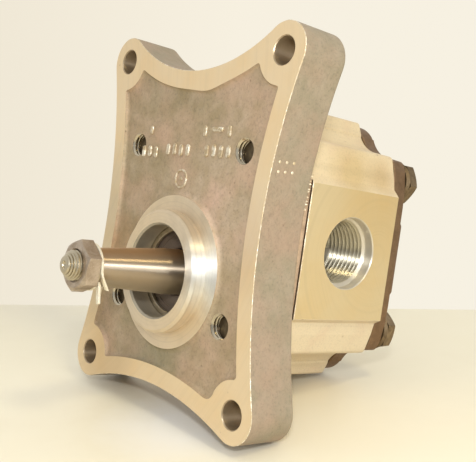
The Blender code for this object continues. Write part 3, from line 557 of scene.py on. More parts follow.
def helix(name, form, pitch, a0, a1, segs=64, mat=None, axis="Y", centre=(0, 0, 0), phase=0.0, cone=None):
    """A threaded rod: form is [(share of pitch, radius)], swept along a helix from a0 to a1."""
    k = len(form)
    turns = int((a1 - a0) / pitch) + 1
    rows = turns * k + 1
    verts = []
    for i in range(segs):
        th = phase + 2 * pi * i / segs
        for j in range(rows):
            f, r = form[j % k]
            a = a0 + (j // k + f) * pitch + pitch * i / segs
            if cone:
                r = cone(a, r)
            verts.append((r * cos(th), a, r * sin(th)))
    at = lambda i, j: i * rows + j
    faces = []
    for i in range(segs - 1):
        for j in range(rows - 1):
            faces.append((at(i, j), at(i + 1, j), at(i + 1, j + 1), at(i, j + 1)))
    for j in range(rows - 1 - k):
        faces.append((at(segs - 1, j), at(0, j + k), at(0, j + k + 1), at(segs - 1, j + 1)))
    lo, hi = len(verts), len(verts) + 1
    verts.append((0.0, a0 - 0.4 * pitch, 0.0))
    verts.append((0.0, a0 + (turns + 1.4) * pitch, 0.0))
    low = [at(i, 0) for i in range(segs)] + [at(0, j) for j in range(k, 0, -1)]
    high = [at(i, rows - 1) for i in range(segs - 1, -1, -1)]
    high = [at(0, rows - 1)] + [at(i, rows - 1) for i in range(1, segs)] + [at(segs - 1, rows - 1 - j) for j in range(1, k + 1)]
    for u, v in zip(low, low[1:] + low[:1]):
        faces.append((u, v, lo))
    # the far end: the last row, then down the seam on the last column
    top = [at(i, rows - 1) for i in range(segs)] + [at(segs - 1, rows - 1 - j) for j in range(1, k + 1)]
    seam_end = top[-1]
    for u, v in zip(top, top[1:]):
        faces.append((u, v, hi))
    faces.append((seam_end, top[0], hi))
    if axis == "X":
        verts = [(a, x, z) for x, a, z in verts]
    cx, cy, cz = centre
    return to_object(name, [(x + cx, y + cy, z + cz) for x, y, z in verts], faces, mat)


def box(name, x0, x1, y0, y1, z0, z1, mat=None):
    v = [(x, y, z) for x in (x0, x1) for y in (y0, y1) for z in (z0, z1)]
    f = [(0, 1, 3, 2), (4, 6, 7, 5), (0, 4, 5, 1), (2, 3, 7, 6), (0, 2, 6, 4), (1, 5, 7, 3)]
    return to_object(name, v, f, mat)


def boolean(target, tools, op="DIFFERENCE"):
    for t in tools if isinstance(tools, (list, tuple)) else [tools]:
        m = target.modifiers.new("cut", "BOOLEAN")
        m.operation = op
        m.solver = "EXACT"
        m.object = t
        m.material_mode = "TRANSFER"
        bpy.context.view_layer.update()
        dg = bpy.context.evaluated_depsgraph_get()
        me = bpy.data.meshes.new_from_object(target.evaluated_get(dg))
        target.modifiers.clear()
        old = target.data
        target.data = me
        me.name = target.name
        bpy.data.meshes.remove(old)
        bpy.data.objects.remove(t, do_unlink=True)
    return target


def finish_mesh(ob, body, replaces=None, angle=28):
    me = ob.data
    bm = bmesh.new()
    bm.from_mesh(me)
    bmesh.ops.remove_doubles(bm, verts=bm.verts, dist=1e-7)
    bmesh.ops.dissolve_degenerate(bm, edges=bm.edges, dist=1e-7)
    bad = sum(1 for e in bm.edges if len(e.link_faces) != 2)
    bm.to_mesh(me)
    bm.free()
    me.shade_smooth()
    me.set_sharp_from_angle(angle=radians(angle))
    m = ob.modifiers.new("weighted", "WEIGHTED_NORMAL")
    m.keep_sharp = True
    m.weight = 80
    if bad:
        print("MESH %s: %d bad edges" % (ob.name, bad))
    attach(ob, body)
    if replaces:
        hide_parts(*([replaces] if isinstance(replaces, str) else replaces))
    return ob


# ----------------------------------------------------------------------------
# Flat outlines (mm)
# ----------------------------------------------------------------------------


def arc(cx, cz, r, a0, a1, n):
    return [(cx + r * cos(a0 + (a1 - a0) * i / n), cz + r * sin(a0 + (a1 - a0) * i / n)) for i in range(n + 1)]


def meet(c0, r0, c1, r1, pick):
    dx, dz = c1[0] - c0[0], c1[1] - c0[1]
    d = hypot(dx, dz)
    a = (r0 * r0 - r1 * r1 + d * d) / (2 * d)
    h = sqrt(max(r0 * r0 - a * a, 0.0))
    mx, mz = c0[0] + a * dx / d, c0[1] + a * dz / d
    both = [(mx + h * dz / d, mz - h * dx / d), (mx - h * dz / d, mz + h * dx / d)]
    return min(both, key=lambda p: hypot(p[0] - pick[0], p[1] - pick[1]))


def tangent_arcs():
    hx, r = HOLE_X, LOBE_R
    zt, zb = PATTERN_Z + HOLE_Z, PATTERN_Z - HOLE_Z
    a = TOP_Z - zt
    rt = (hx * hx + a * a - r * r) / (2 * r - 2 * a)
    b = zb - BOTTOM_Z
    rb = (hx * hx + b * b - r * r) / (2 * r - 2 * b)
    c = SIDE_X - hx
    rs = (HOLE_Z ** 2 + c * c - r * r) / (2 * r - 2 * c)
    return ((0.0, TOP_Z + rt), rt), ((0.0, BOTTOM_Z - rb), rb), ((SIDE_X + rs, PATTERN_Z), rs)


def ang(c, p):
    return atan2(p[1] - c[1], p[0] - c[0])


def flange_outline(grow=0.0):
    (tc, rt), (bc, rb), (sc, rs) = tangent_arcs()
    rt, rb, rs, lobe = rt - grow, rb - grow, rs - grow, LOBE_R + grow
    hu, hl = (HOLE_X, PATTERN_Z + HOLE_Z), (HOLE_X, PATTERN_Z - HOLE_Z)
    pts = arc(*tc, rt, -pi / 2, ang(tc, hu), 24)
    pts += arc(*hu, lobe, ang(hu, tc), ang(hu, sc), 30)[1:]
    b0, b1 = ang(sc, hu) % (2 * pi), ang(sc, hl) % (2 * pi)
    pts += arc(*sc, rs, b0, b1, 30)[1:]
    pts += arc(*hl, lobe, ang(hl, sc), ang(hl, bc), 30)[1:]
    pts += arc(*bc, rb, ang(bc, hl), pi / 2, 24)[1:]
    return pts + [(-x, z) for x, z in reversed(pts[1:-1])]


def soften(points, radius, n=5):
    """Corners given as (point, direction in, direction out) are cut at radius and curved."""
    out = []
    for p, din, dout in points:
        a = (p[0] - din[0] * radius, p[1] - din[1] * radius)
        b = (p[0] + dout[0] * radius, p[1] + dout[1] * radius)
        for i in range(n + 1):
            t = i / n
            out.append(((1 - t) ** 2 * a[0] + 2 * t * (1 - t) * p[0] + t * t * b[0],
                        (1 - t) ** 2 * a[1] + 2 * t * (1 - t) * p[1] + t * t * b[1]))
    return out


def recess_outline(d=0.0, corner=1.7):
    """Outline of the cast field, moved inwards by d, its points softened."""
    (tc, rt), (bc, rb), (sc, rs) = tangent_arcs()
    rt, rb, rs, bite = rt + RECESS_IN + d, rb + RECESS_IN + d, rs + RECESS_IN + d, RECESS_BITE + d
    hu, hl = (HOLE_X, PATTERN_Z + HOLE_Z), (HOLE_X, PATTERN_Z - HOLE_Z)
    p1 = meet(tc, rt, hu, bite, (HOLE_X - 14, hu[1] - 4))
    p2 = meet(sc, rs, hu, bite, (HOLE_X - 2, hu[1] - 14))
    p3 = meet(sc, rs, hl, bite, (HOLE_X - 2, hl[1] + 14))
    p4 = meet(bc, rb, hl, bite, (HOLE_X - 14, hl[1] + 4))
    segs = [(tc, rt, -pi / 2, ang(tc, p1), 1), (hu, bite, ang(hu, p1) % (2 * pi), ang(hu, p2) % (2 * pi), 1),
            (sc, rs, ang(sc, p2) % (2 * pi), ang(sc, p3) % (2 * pi), 1),
            (hl, bite, ang(hl, p3) % (2 * pi), ang(hl, p4) % (2 * pi), 1),
            (bc, rb, ang(bc, p4), pi / 2, 1)]
    counts = (20, 12, 26, 12, 20)

    def half(corners):
        pts = []
        for i, ((c, r, a0, a1, _), n) in enumerate(zip(segs, counts)):
            s = 1 if a1 > a0 else -1
            b0 = a0 + (s * corners[i - 1] / r if i > 0 else 0)
            b1 = a1 - (s * corners[i] / r if i < 4 else 0)
            run = arc(*c, r, b0, b1, n)
            pts += run
            if i < 4:
                c2, r2, e0, e1, _ = segs[i + 1]
                s2 = 1 if e1 > e0 else -1
                p = (c[0] + r * cos(a1), c[1] + r * sin(a1))
                q = (c2[0] + r2 * cos(e0 + s2 * corners[i] / r2), c2[1] + r2 * sin(e0 + s2 * corners[i] / r2))
                a = run[-1]
                for k in range(1, 6):
                    t = k / 6
                    pts.append(((1 - t) ** 2 * a[0] + 2 * t * (1 - t) * p[0] + t * t * q[0],
                                (1 - t) ** 2 * a[1] + 2 * t * (1 - t) * p[1] + t * t * q[1]))
        return pts

    pts = half((corner, corner, corner * 1.3, corner * 3.2))
    pts += [(-x, z) for x, z in reversed(half((corner,) * 4)[1:-1])]
    return [(x, z - (1.3 * np.exp(-((x - 9.0) / 8.0) ** 2) if z > 50 else 0.0)) for x, z in pts]


def fillet_poly(points):
    """[(x, z, radius)] to a closed outline whose corners are arcs of that radius."""
    out = []
    n = len(points)
    for i in range(n):
        px, pz, r = points[i]
        ax, az = points[i - 1][0] - px, points[i - 1][1] - pz
        bx, bz = points[(i + 1) % n][0] - px, points[(i + 1) % n][1] - pz
        la, lb = hypot(ax, az), hypot(bx, bz)
        ax, az, bx, bz = ax / la, az / la, bx / lb, bz / lb
        dot = max(-1.0, min(1.0, ax * bx + az * bz))
        half = acos(dot) / 2
        if r < 1e-6 or half > pi / 2 - 0.02:
            out.append((px, pz))
            continue
        t = min(r / tan(half), la * 0.48, lb * 0.48)
        r = t * tan(half)
        mx, mz = ax + bx, az + bz
        ml = hypot(mx, mz)
        k = r / sin(half)
        cx, cz = px + mx / ml * k, pz + mz / ml * k
        a0 = atan2(pz + az * t - cz, px + ax * t - cx)
        a1 = atan2(pz + bz * t - cz, px + bx * t - cx)
        d = (a1 - a0 + pi) % (2 * pi) - pi
        steps = max(2, min(14, int(abs(d) * 9 + 1)))
        out += [(cx + r * cos(a0 + d * s / steps), cz + r * sin(a0 + d * s / steps)) for s in range(steps + 1)]
    return out


def inset(loop, d):
    """Moves a closed outline inwards by a small d, keeping its point count."""
    n = len(loop)
    area = sum(loop[i][0] * loop[(i + 1) % n][1] - loop[(i + 1) % n][0] * loop[i][1] for i in range(n))
    s = 1.0 if area > 0 else -1.0
    out = []
    for i in range(n):
        (x0, z0), (x, z), (x1, z1) = loop[i - 1], loop[i], loop[(i + 1) % n]
        ux, uz, vx, vz = x - x0, z - z0, x1 - x, z1 - z
        lu, lv = hypot(ux, uz) or 1e-9, hypot(vx, vz) or 1e-9
        nx = -s * (uz / lu + vz / lv)
        nz = s * (ux / lu + vx / lv)
        l = hypot(nx, nz) or 1e-9
        nx, nz = nx / l, nz / l
        c = max(0.6, nx * -s * uz / lu + nz * s * ux / lu)
        out.append((x + nx * d / c, z + nz * d / c))
    return out


def at_y(loop, y):
    return [(x, y, z) for x, z in loop]


def resample(loop, step):
    """Adds points along long straight runs."""
    out = []
    n = len(loop)
    for i in range(n):
        a, b = loop[i], loop[(i + 1) % n]
        k = max(1, int(hypot(b[0] - a[0], b[1] - a[1]) / step))
        out += [(a[0] + (b[0] - a[0]) * j / k, a[1] + (b[1] - a[1]) * j / k) for j in range(k)]
    return out


def figure_eight(r, n=60):
    half = acos(min(1.0, (CENTRE_DIST / 2) / r))
    low = arc(0.0, 0.0, r, pi / 2 + half, 2 * pi + pi / 2 - half, n)
    up = arc(0.0, CENTRE_DIST, r, -pi / 2 + half, 3 * pi / 2 - half, n)
    return low + up[1:-1]


def body_section():
    """Section of the extruded body, clockwise from the top middle."""
    right = [(17.9, BODY_TOP, 2.2), (20.3, 50.4, 1.6)]
    right += [(x, z, 0.0) for x, z in arc(31.6, 56.0, 13.0, radians(210), radians(258), 18)]
    right += [(30.6, 43.0, 4.0), (38.9, 41.7, 2.6), (41.4, 33.4, 8.0), (42.5, 28.2, 1.2), (PAD_X, 25.2, 0.35)]
    low = [(x, -z, r) for x, z, r in reversed(right)]
    low = [(x, (-26.6 if abs(z + 25.2) < 0.01 else z), r) for x, z, r in low]
    left = [(-x, z, r) for x, z, r in reversed(right + low)]
    pts = right + low + left
    return [(x, z + BODY_Z) for x, z in fillet_poly(pts)]


def cover_section():
    right = [(7.0, 55.2, 1.0)] + [(x, z, 0.0) for x, z in arc(10.5, 42.8, 12.3, radians(84), radians(34), 16)]
    right += [(x, z, 0.0) for x, z in arc(33.6, 55.2, 13.6, radians(204), radians(256), 16)]
    right += [(33.9, 41.6, 5.0), (38.8, 40.6, 2.6), (40.9, 36.4, 5.0), (42.0, 29.0, 6.0), (42.4, 21.0, 8.0)]
    low = [(x, -z, r) for x, z, r in reversed(right)]
    left = [(-x, z, r) for x, z, r in reversed(right + low)]
    return [(x, z + BODY_Z) for x, z in fillet_poly(right + low + left)]


def gear_outline(first):
    rp = MODULE * TEETH / 2
    rb = rp * cos(PRESSURE)
    inv = lambda r: sqrt(max((r / rb) ** 2 - 1, 0.0)) - acos(min(1.0, rb / r))
    half_p = (pi * MODULE / 2 - BACKLASH) / (2 * rp)
    half_at = lambda r: half_p + inv(rp) - inv(max(r, rb))
    radii = [rb + (GEAR_OR - rb) * i / 8 for i in range(9)]
    pitch = 2 * pi / TEETH
    pts = []
    for t in range(TEETH):
        c = first + t * pitch
        foot = half_at(rb) + 0.035
        polar = [(GEAR_RR, -pitch / 2), (GEAR_RR, -foot - 0.04), (GEAR_RR + 0.12, -foot - 0.01),
                 (GEAR_RR + 0.35, -foot + 0.005)]
        polar += [(r, -half_at(r)) for r in radii]
        polar += [(r, half_at(r)) for r in reversed(radii)]
        polar += [(GEAR_RR + 0.35, foot - 0.005), (GEAR_RR + 0.12, foot + 0.01), (GEAR_RR, foot + 0.04)]
        pts += [(r * cos(c + a), r * sin(c + a)) for r, a in polar]
    return pts


def thread_form(minor, major, crest=0.14, root=0.16, bevel=0.055):
    """Trapezoid thread, root first, with a small break on every edge."""
    f = (1 - crest - root) / 2
    d = (major - minor) * 0.10
    return [(0.0, minor), (root, minor), (root + bevel, minor + d), (root + f - bevel, major - d), (root + f, major),
            (root + f + crest, major), (root + f + crest + bevel, major - d), (1 - bevel, minor + d)]


# ----------------------------------------------------------------------------
# Mounting flange
# ----------------------------------------------------------------------------
E = 0.22
edge = [(0.0, -E), (0.05, -E * 0.62), (0.12, -E * 0.22), (E, 0.0), (5.0, 0.02), (10.0, 0.02), (FLANGE_T - 1.4, 0.0)]
edge += [(FLANGE_T - 1.4 + 1.4 * sin(a), -1.4 * (1 - cos(a))) for a in [radians(v) for v in (15, 30, 45, 60, 75, 90)]]
flange = loft("flange_casting", [at_y(flange_outline(g), y) for y, g in edge], "cast_side")
wall = [(-2.0, -0.05), (-0.05, -0.05), (0.25, 0.12), (0.7, 0.35), (1.05, 0.62), (1.3, 1.0), (1.44, 1.5), (RECESS_D, 2.1)]
boolean(flange, [loft("recess_cut", [at_y(recess_outline(d), y) for y, d in wall], "cast")])
pad = [(0, -PILOT_H), (PILOT_R - 1.15, -PILOT_H), (PILOT_R - 1.0, -PILOT_H + 0.05), (PILOT_R - 0.06, -PILOT_H + 0.95),
       (PILOT_R, -PILOT_H + 1.1), (PILOT_R, -0.75), (PILOT_R - 0.35, -0.6), (PILOT_R - 0.35, -0.12),
       (PILOT_R - 0.2, 0.0), (PAD_R - 0.15, 0.0), (PAD_R, 0.08), (PAD_R + 0.12, 0.35), (PAD_R + 0.4, 0.85),
       (PAD_R + 0.85, 1.2), (PAD_R + 1.5, 1.44), (PAD_R + 2.2, 1.52), (PAD_R + 2.2, 6.0), (0, 6.0)]
boolean(flange, [turn("pilot_union", pad, 160, "turned")], "UNION")
bore = [(0, -PILOT_H - 2), (SEAL_BORE_R + 3.0, -PILOT_H - 2), (SEAL_BORE_R + 0.75, -PILOT_H - 0.05),
        (SEAL_BORE_R, -PILOT_H + 0.75), (SEAL_BORE_R, 2.2), (19.2, 2.2), (19.2, 4.2), (SEAL_BORE_R, 4.2),
        (SEAL_BORE_R, SEAL_BORE_END), (FLANGE_BORE_R, SEAL_BORE_END), (FLANGE_BORE_R, FLANGE_T + 3), (0, FLANGE_T + 3)]
cuts = [turn("bore_cut", bore, 128, "bore")]
for i, (x, z) in enumerate(MOUNT_HOLES):
    cuts.append(turn("mount_cut_%d" % i, [(0, -2), (HOLE_R + 2.35, -2), (HOLE_R, 0.35), (HOLE_R, FLANGE_T - 0.35),
                                          (HOLE_R + 2.35, FLANGE_T + 2), (0, FLANGE_T + 2)], 72, "hole", centre=(x, 0, z)))
PITCH = 1.5
for k, (x, z) in BOLTS.items():
    ph = radians(HEAD_PHASE[k])
    cuts.append(helix("tap_cut_" + k, thread_form(4.32, 5.22), PITCH, -3.0, FLANGE_T + 1.5, 56, "thread",
                      centre=(x, 0, z), phase=ph))
    cuts.append(turn("tap_mouth_" + k, [(0, -2), (7.6, -2), (4.1, 2.35), (0, 2.6)], 56, "thread", centre=(x, 0, z)))
for k, (x, z) in DOWELS.items():
    cuts.append(turn("dowel_cut_" + k, [(0, 15.6), (3.3, 15.6), (3.3, FLANGE_T + 2), (0, FLANGE_T + 2)], 32, "hole",
                     centre=(x, 0, z)))
boolean(flange, cuts)
groove = loft("groove_outer", [at_y(figure_eight(24.9), y) for y in (FLANGE_T - 1.6, FLANGE_T + 2)], "faced")
boolean(groove, [loft("groove_inner", [at_y(figure_eight(22.3), y) for y in (FLANGE_T - 3, FLANGE_T + 3)], "faced")])
boolean(flange, [groove])


def assign(ob, test, mat):
    """Gives the faces whose centre and normal pass the test another material."""
    me = ob.data
    if M[mat].name not in [m.name for m in me.materials if m]:
        me.materials.append(M[mat])
    idx = [m.name if m else "" for m in me.materials].index(M[mat].name)
    names = [m.name if m else "" for m in me.materials]
    for p in me.polygons:
        if test(p.center * 1000, p.normal, names[p.material_index]):
            p.material_index = idx


assign(flange, lambda c, n, m: m == M["cast_side"].name and n.y < -0.9 and c.y < 0.2, "border")
assign(flange, lambda c, n, m: m == M["cast_side"].name and -0.95 < n.y < -0.2 and c.y < 0.3, "edge")
assign(flange, lambda c, n, m: m == M["cast_side"].name and n.y > 0.95, "faced")
assign(flange, lambda c, n, m: m == M["turned"].name and c.y > 0.2, "cast")
finish_mesh(flange, "housing", "mounting_flange")


def cushion(name, outline, y0, rise, mat, shrink=0.3):
    """A low cast pad on the field: its edges slope and round over."""
    return loft(name, [at_y(outline, y0 + 0.15), at_y(outline, y0 - rise * 0.35), at_y(inset(outline, shrink * 0.35), y0 - rise * 0.8),
                       at_y(inset(outline, shrink), y0 - rise)], mat)


def stroke(x, z, length, width, tilt):
    ux, uz = cos(tilt), sin(tilt)
    pts = []
    for s_, c in ((1, length / 2), (-1, -length / 2)):
        for i in range(7):
            a = -pi / 2 + pi * i / 6
            u, v = c + s_ * cos(a) * width / 2, s_ * sin(a) * width / 2
            pts.append((x + u * ux - v * uz, z + u * uz + v * ux))
    return pts


# plain raised dashes and a ringed dot where a foundry puts its marks; they say nothing
bars = []
for x, z, n in ((-29.6, 46.6, 3), (-12.6, 48.0, 4), (12.2, 48.4, 4)):
    bars += [stroke(x + j * 4.3, z + 0.25 * (j % 2), 2.7, 2.15, pi / 2) for j in range(n)]
bars += [stroke(9.8, 56.0, 2.6, 1.9, pi / 2), stroke(17.2, 56.8, 4.8, 2.0, 0.0), stroke(24.2, 56.2, 2.6, 1.9, pi / 2),
         stroke(-25.8, 55.6, 2.0, 1.7, pi / 2)]
marks = cushion("foundry_dashes", bars[0], RECESS_D, 0.75, "mark", 0.55)
for i, o in enumerate(bars[1:]):
    boolean(marks, [cushion("dash_%d" % i, o, RECESS_D, 0.75, "mark", 0.55)], "UNION")
ring_mark = turn("ring_mark", [(3.0, RECESS_D + 0.15), (3.0, RECESS_D - 0.15), (3.15, RECESS_D - 0.42), (3.4, RECESS_D - 0.5),
                               (3.7, RECESS_D - 0.42), (3.9, RECESS_D - 0.15), (3.9, RECESS_D + 0.15)], 48, "mark",
                 centre=(-1.6, 0, 36.8), closed=True)
ring_dot = turn("ring_dot", [(0, RECESS_D + 0.15), (0.9, RECESS_D + 0.15), (0.85, RECESS_D - 0.2), (0.55, RECESS_D - 0.42), (0, RECESS_D - 0.48)], 24,
                "mark", centre=(-1.6, 0, 36.8))
boolean(marks, [ring_mark, ring_dot], "UNION")
finish_mesh(marks, "housing", None)

rng = np.random.default_rng(7)
dots = None
for i, (y, z) in enumerate([(3.2, 46.6), (6.6, 46.8), (10.0, 47.0), (3.4, 43.2), (6.8, 43.4), (10.2, 43.6)]):
    (tc_, rt_), (bc_, rb_), (sc_, rs_) = tangent_arcs()
    x = sc_[0] - sqrt(rs_ ** 2 - (z - sc_[1]) ** 2)
    d = turn("dot", [(0, x - 0.4), (0.62, x - 0.4), (0.6, x + 0.02), (0.42, x + 0.16), (0.2, x + 0.2), (0, x + 0.21)], 20, "edge", "X",
             (0, y, z))
    dots = d if dots is None else boolean(dots, [d], "UNION")
dots.name = "peened_dots"
finish_mesh(dots, "housing", None)

# slivers of casting flash left along the rear rim, beside the body
flakes = None
for i in range(9):
    z = 43.5 - i * 1.45 + rng.uniform(-0.4, 0.4)
    x = sc_[0] - sqrt(rs_ ** 2 - (z - sc_[1]) ** 2)
    h, w = rng.uniform(0.35, 0.8), rng.uniform(0.35, 0.75)
    yb = FLANGE_T - 1.1
    v = [(x - 1.0, yb - 0.3, z - w), (x - 1.0, yb + 0.9, z - w * 0.8), (x - 1.0, yb + 0.8, z + w), (x - 1.0, yb - 0.2, z + w * 0.7),
         (x + h * 0.5, yb + 0.3, z - w * 0.5), (x + h * 0.8, yb + 0.7, z + rng.uniform(-0.2, 0.2)), (x + h * 0.3, yb + 0.5, z + w * 0.5)]
    bm = bmesh.new()
    for p in v:
        bm.verts.new([mm(c) for c in p])
    bmesh.ops.convex_hull(bm, input=bm.verts)
    me = bpy.data.meshes.new("flake")
    bm.to_mesh(me)
    bm.free()
    ob = bpy.data.objects.new("flake", me)
    COLL.objects.link(ob)
    me.materials.append(M["edge"])
    flakes = ob if flakes is None else boolean(flakes, [ob], "UNION")
flakes.name = "casting_flash"
finish_mesh(flakes, "housing", None)

# ----------------------------------------------------------------------------
# Body
# ----------------------------------------------------------------------------
sec = body_section()
e = 0.22
body = loft("body_extrusion", [at_y(inset(sec, e), BODY_Y0), at_y(sec, BODY_Y0 + e), at_y(sec, BODY_Y1 - e),
                               at_y(inset(sec, e), BODY_Y1)], "extruded")
boolean(body, [loft("chamber", [at_y(figure_eight(CHAMBER_R), y) for y in (BODY_Y0 - 2, BODY_Y1 + 2)], "bore")])
cuts = [turn("clear_" + k, [(0, BODY_Y0 - 2), (BOLT_R + GAP, BODY_Y0 - 2), (BOLT_R + GAP, BODY_Y1 + 2), (0, BODY_Y1 + 2)],
             48, "hole", centre=(x, 0, z)) for k, (x, z) in BOLTS.items()]
for k, (x, z) in DOWELS.items():
    cuts.append(turn("dfront_" + k, [(0, BODY_Y0 - 2), (3.3, BODY_Y0 - 2), (3.3, 26.6), (0, 26.6)], 32, "hole", centre=(x, 0, z)))
    cuts.append(turn("drear_" + k, [(0, 73.5), (3.3, 73.5), (3.3, BODY_Y1 + 2), (0, BODY_Y1 + 2)], 32, "hole", centre=(x, 0, z)))
PORT_PITCH = 2.117
for sx, minor, major, mouth in ((1, 12.62, 13.62, 14.15), (-1, 9.75, 10.6, 11.1)):
    c = (0, PORT_Y, BODY_Z)
    prof = [(0, sx * 12.0), (minor - 0.25, sx * 12.0), (minor - 0.25, sx * 24.0), (0, sx * 24.0)]
    cuts.append(turn("port_core_%d" % sx, sorted(prof, key=lambda p: 0), 96, "port_mouth", "X", c))
    a0, a1 = (21.6, 44.0) if sx > 0 else (-44.0, -22.5)
    cuts.append(helix("port_thread_%d" % sx, thread_form(minor, major), PORT_PITCH, a0, a1, 96, "port_thread", "X", c))
    prof = [(0, sx * 40.4), (minor - 0.1, sx * 40.4), (mouth - 0.15, sx * (PAD_X - 4.25)), (mouth, sx * (PAD_X - 4.0)),
            (mouth, sx * (PAD_X - 0.35)), (mouth + 1.6, sx * (PAD_X + 1.25)), (0, sx * (PAD_X + 3.0))]
    cuts.append(turn("port_mouth_%d" % sx, prof, 96, "port_mouth", "X", c))
boolean(body, cuts)
for sx in (-1, 1):
    step = [(PAD_X - 1.1, BODY_Y0 - 2), (PAD_X - 1.1, PAD_Y0), (PAD_X - 0.24, PAD_Y0), (PAD_X + 0.01, PAD_Y0 + 0.26), (PAD_X + 3, PAD_Y0 + 0.26),
            (PAD_X + 3, BODY_Y0 - 2)]
    boolean(body, [loft("pad_step_%d" % sx, [[(sx * x, y, BODY_Z + z) for x, y in step] for z in (-30, 30)], "edge")])
assign(body, lambda c, n, m: m == M["edge"].name and abs(n.x) > 0.95, "seam")
# painted shade: the step's wall in the gap behind the flange gets the near-black gap shade
assign(body, lambda c, n, m: m == M["edge"].name and n.y < -0.9, "gap_shade")
assign(body, lambda c, n, m: m == M["extruded"].name and abs(n.x) > 0.985 and abs(c.x) > PAD_X - 0.3, "pad")
assign(body, lambda c, n, m: m == M["extruded"].name and abs(n.y) > 0.9, "faced")
finish_mesh(body, "housing", "pump_body")

# ----------------------------------------------------------------------------
# Rear cover
# ----------------------------------------------------------------------------
sec = cover_section()
e = 0.5
rows = [at_y(inset(sec, 0.2), COVER_Y0), at_y(sec, COVER_Y0 + 0.2), at_y(sec, COVER_Y1 - e)]
rows += [at_y(inset(sec, e * (1 - cos(a))), COVER_Y1 - e + e * sin(a)) for a in (radians(30), radians(60), radians(90))]
cover = loft("cover_casting", rows, "iron")
band_pts = [(-41.2, -17.4, 3.0), (-41.2, 16.0, 3.0), (41.2, 16.0, 3.0), (41.2, -17.4, 3.0)]
bp = [(x, z + BODY_Z) for x, z in fillet_poly(band_pts)]
band = loft("cover_band", [at_y(bp, COVER_Y1 - 3), at_y(inset(bp, 0.15), COVER_Y1), at_y(inset(bp, 0.55), COVER_PAD - 0.7),
                           at_y(inset(bp, 0.8), COVER_PAD - 0.22), at_y(inset(bp, 1.25), COVER_PAD)], "iron")
boolean(cover, [band], "UNION")
cuts = [turn("cclear_" + k, [(0, COVER_Y0 - 2), (BOLT_R + GAP, COVER_Y0 - 2), (BOLT_R + GAP, COVER_PAD + 4), (0, COVER_PAD + 4)],
             48, "hole", centre=(x, 0, z)) for k, (x, z) in BOLTS.items()]
cuts += [turn("spot_" + k, [(0, COVER_Y1 + 0.02), (9.1, COVER_Y1 + 0.02), (9.5, COVER_Y1 + 6), (0, COVER_Y1 + 6)], 64,
              "iron_faced", centre=(x, 0, z)) for k, (x, z) in BOLTS.items()]
for k, (x, z) in DOWELS.items():
    cuts.append(turn("cd_" + k, [(0, COVER_Y0 - 2), (3.3, COVER_Y0 - 2), (3.3, 84.4), (0, 84.4)], 32, "hole", centre=(x, 0, z)))
boolean(cover, cuts)
groove = loft("cgroove_outer", [at_y(figure_eight(24.9), y) for y in (COVER_Y0 - 2, COVER_Y0 + 1.6)], "iron_faced")
boolean(groove, [loft("cgroove_inner", [at_y(figure_eight(22.3), y) for y in (COVER_Y0 - 3, COVER_Y0 + 3)], "iron_faced")])
boolean(cover, [groove])
assign(cover, lambda c, n, m: m == M["iron"].name and n.y < -0.95, "iron_faced")
assign(cover, lambda c, n, m: m == M["iron"].name and n.y > 0.95 and c.y > COVER_PAD - 0.1, "iron_faced")
finish_mesh(cover, "housing", "rear_cover")

# ----------------------------------------------------------------------------
# Drive shaft and driven gear
# ----------------------------------------------------------------------------
prof = [(0, -36.0), (STUD_R - 0.75, -36.0), (STUD_R - 0.75, STUD_Y1 - 0.15), (TAPER_R0 - 0.45, STUD_Y1),
        (TAPER_R0, STUD_Y1 + 0.45), (TAPER_R1, TAPER_Y1), (TAPER_R1 + 0.11, TAPER_Y1 + 0.8), (TAPER_R1 + 0.2, TAPER_Y1 + 1.6),
        (JOURNAL_R, TAPER_Y1 + 2.8), (JOURNAL_R, GEAR_Y0 - 1.4), (JOURNAL_R - 0.3, GEAR_Y0 - 1.2),
        (JOURNAL_R - 0.3, GEAR_Y1 + 1.2), (JOURNAL_R, GEAR_Y1 + 1.4), (JOURNAL_R, S_HI[1] - 0.8),
        (JOURNAL_R - 0.8, S_HI[1]), (0, S_HI[1])]
drive = turn("drive_shaft_finished", prof, 128, "shaft")
stud = helix("stud_thread", thread_form(STUD_R - 0.80, STUD_R - 0.02, 0.16, 0.14), 1.27, STUD_Y0 - 3, -33.0, 72, "stud")
ring_cuts = []
for d, r in ((0.75, 3.55), (1.5, 4.35), (2.25, 5.05)):
    ring_cuts += [(r - 0.10, STUD_Y0 + d - 0.22), (r - 0.42, STUD_Y0 + d + 0.02), (r + 0.22, STUD_Y0 + d + 0.16)]
env = turn("stud_envelope", [(0, STUD_Y0 + 1.15), (0.55, STUD_Y0 + 1.05), (1.0, STUD_Y0 + 0.75), (1.3, STUD_Y0 + 0.35), (1.42, STUD_Y0),
                             (STUD_R - 2.75, STUD_Y0), (STUD_R - 2.5, STUD_Y0 + 0.1)] + ring_cuts +
           [(STUD_R + 0.3, STUD_Y0 + 2.75), (STUD_R + 0.3, -35.0), (0, -35.0)], 72, "stud")
boolean(stud, [env], "INTERSECT")
boolean(drive, [stud], "UNION")
teeth = loft("teeth", [at_y(inset(gear_outline(pi / 2), 0.25), GEAR_Y0), at_y(gear_outline(pi / 2), GEAR_Y0 + 0.25),
                       at_y(gear_outline(pi / 2), GEAR_Y1 - 0.25), at_y(inset(gear_outline(pi / 2), 0.25), GEAR_Y1)], "gear")
boolean(drive, [teeth], "UNION")
KEY_Y, KEY_TOP, KEY_H, KEY_D, KEY_W = -20.0, -9.4, 6.5, 16.0, 4.0
key_cx = KEY_TOP + KEY_H - KEY_D / 2


def key_outline(r, flat, n=40):
    a = acos((flat - key_cx) / r)
    return [(x, y + KEY_Y) for x, y in arc(key_cx, 0.0, r, -a, a, n)]


slot = key_outline(KEY_D / 2 + 0.15, KEY_TOP - 2.5)
boolean(drive, [loft("key_slot", [[(x, y, z) for x, y in slot] for z in (-KEY_W / 2 - 0.05, KEY_W / 2 + 0.05)], "hole")])
finish_mesh(drive, "drive_shaft", "drive_gear_shaft", 24)

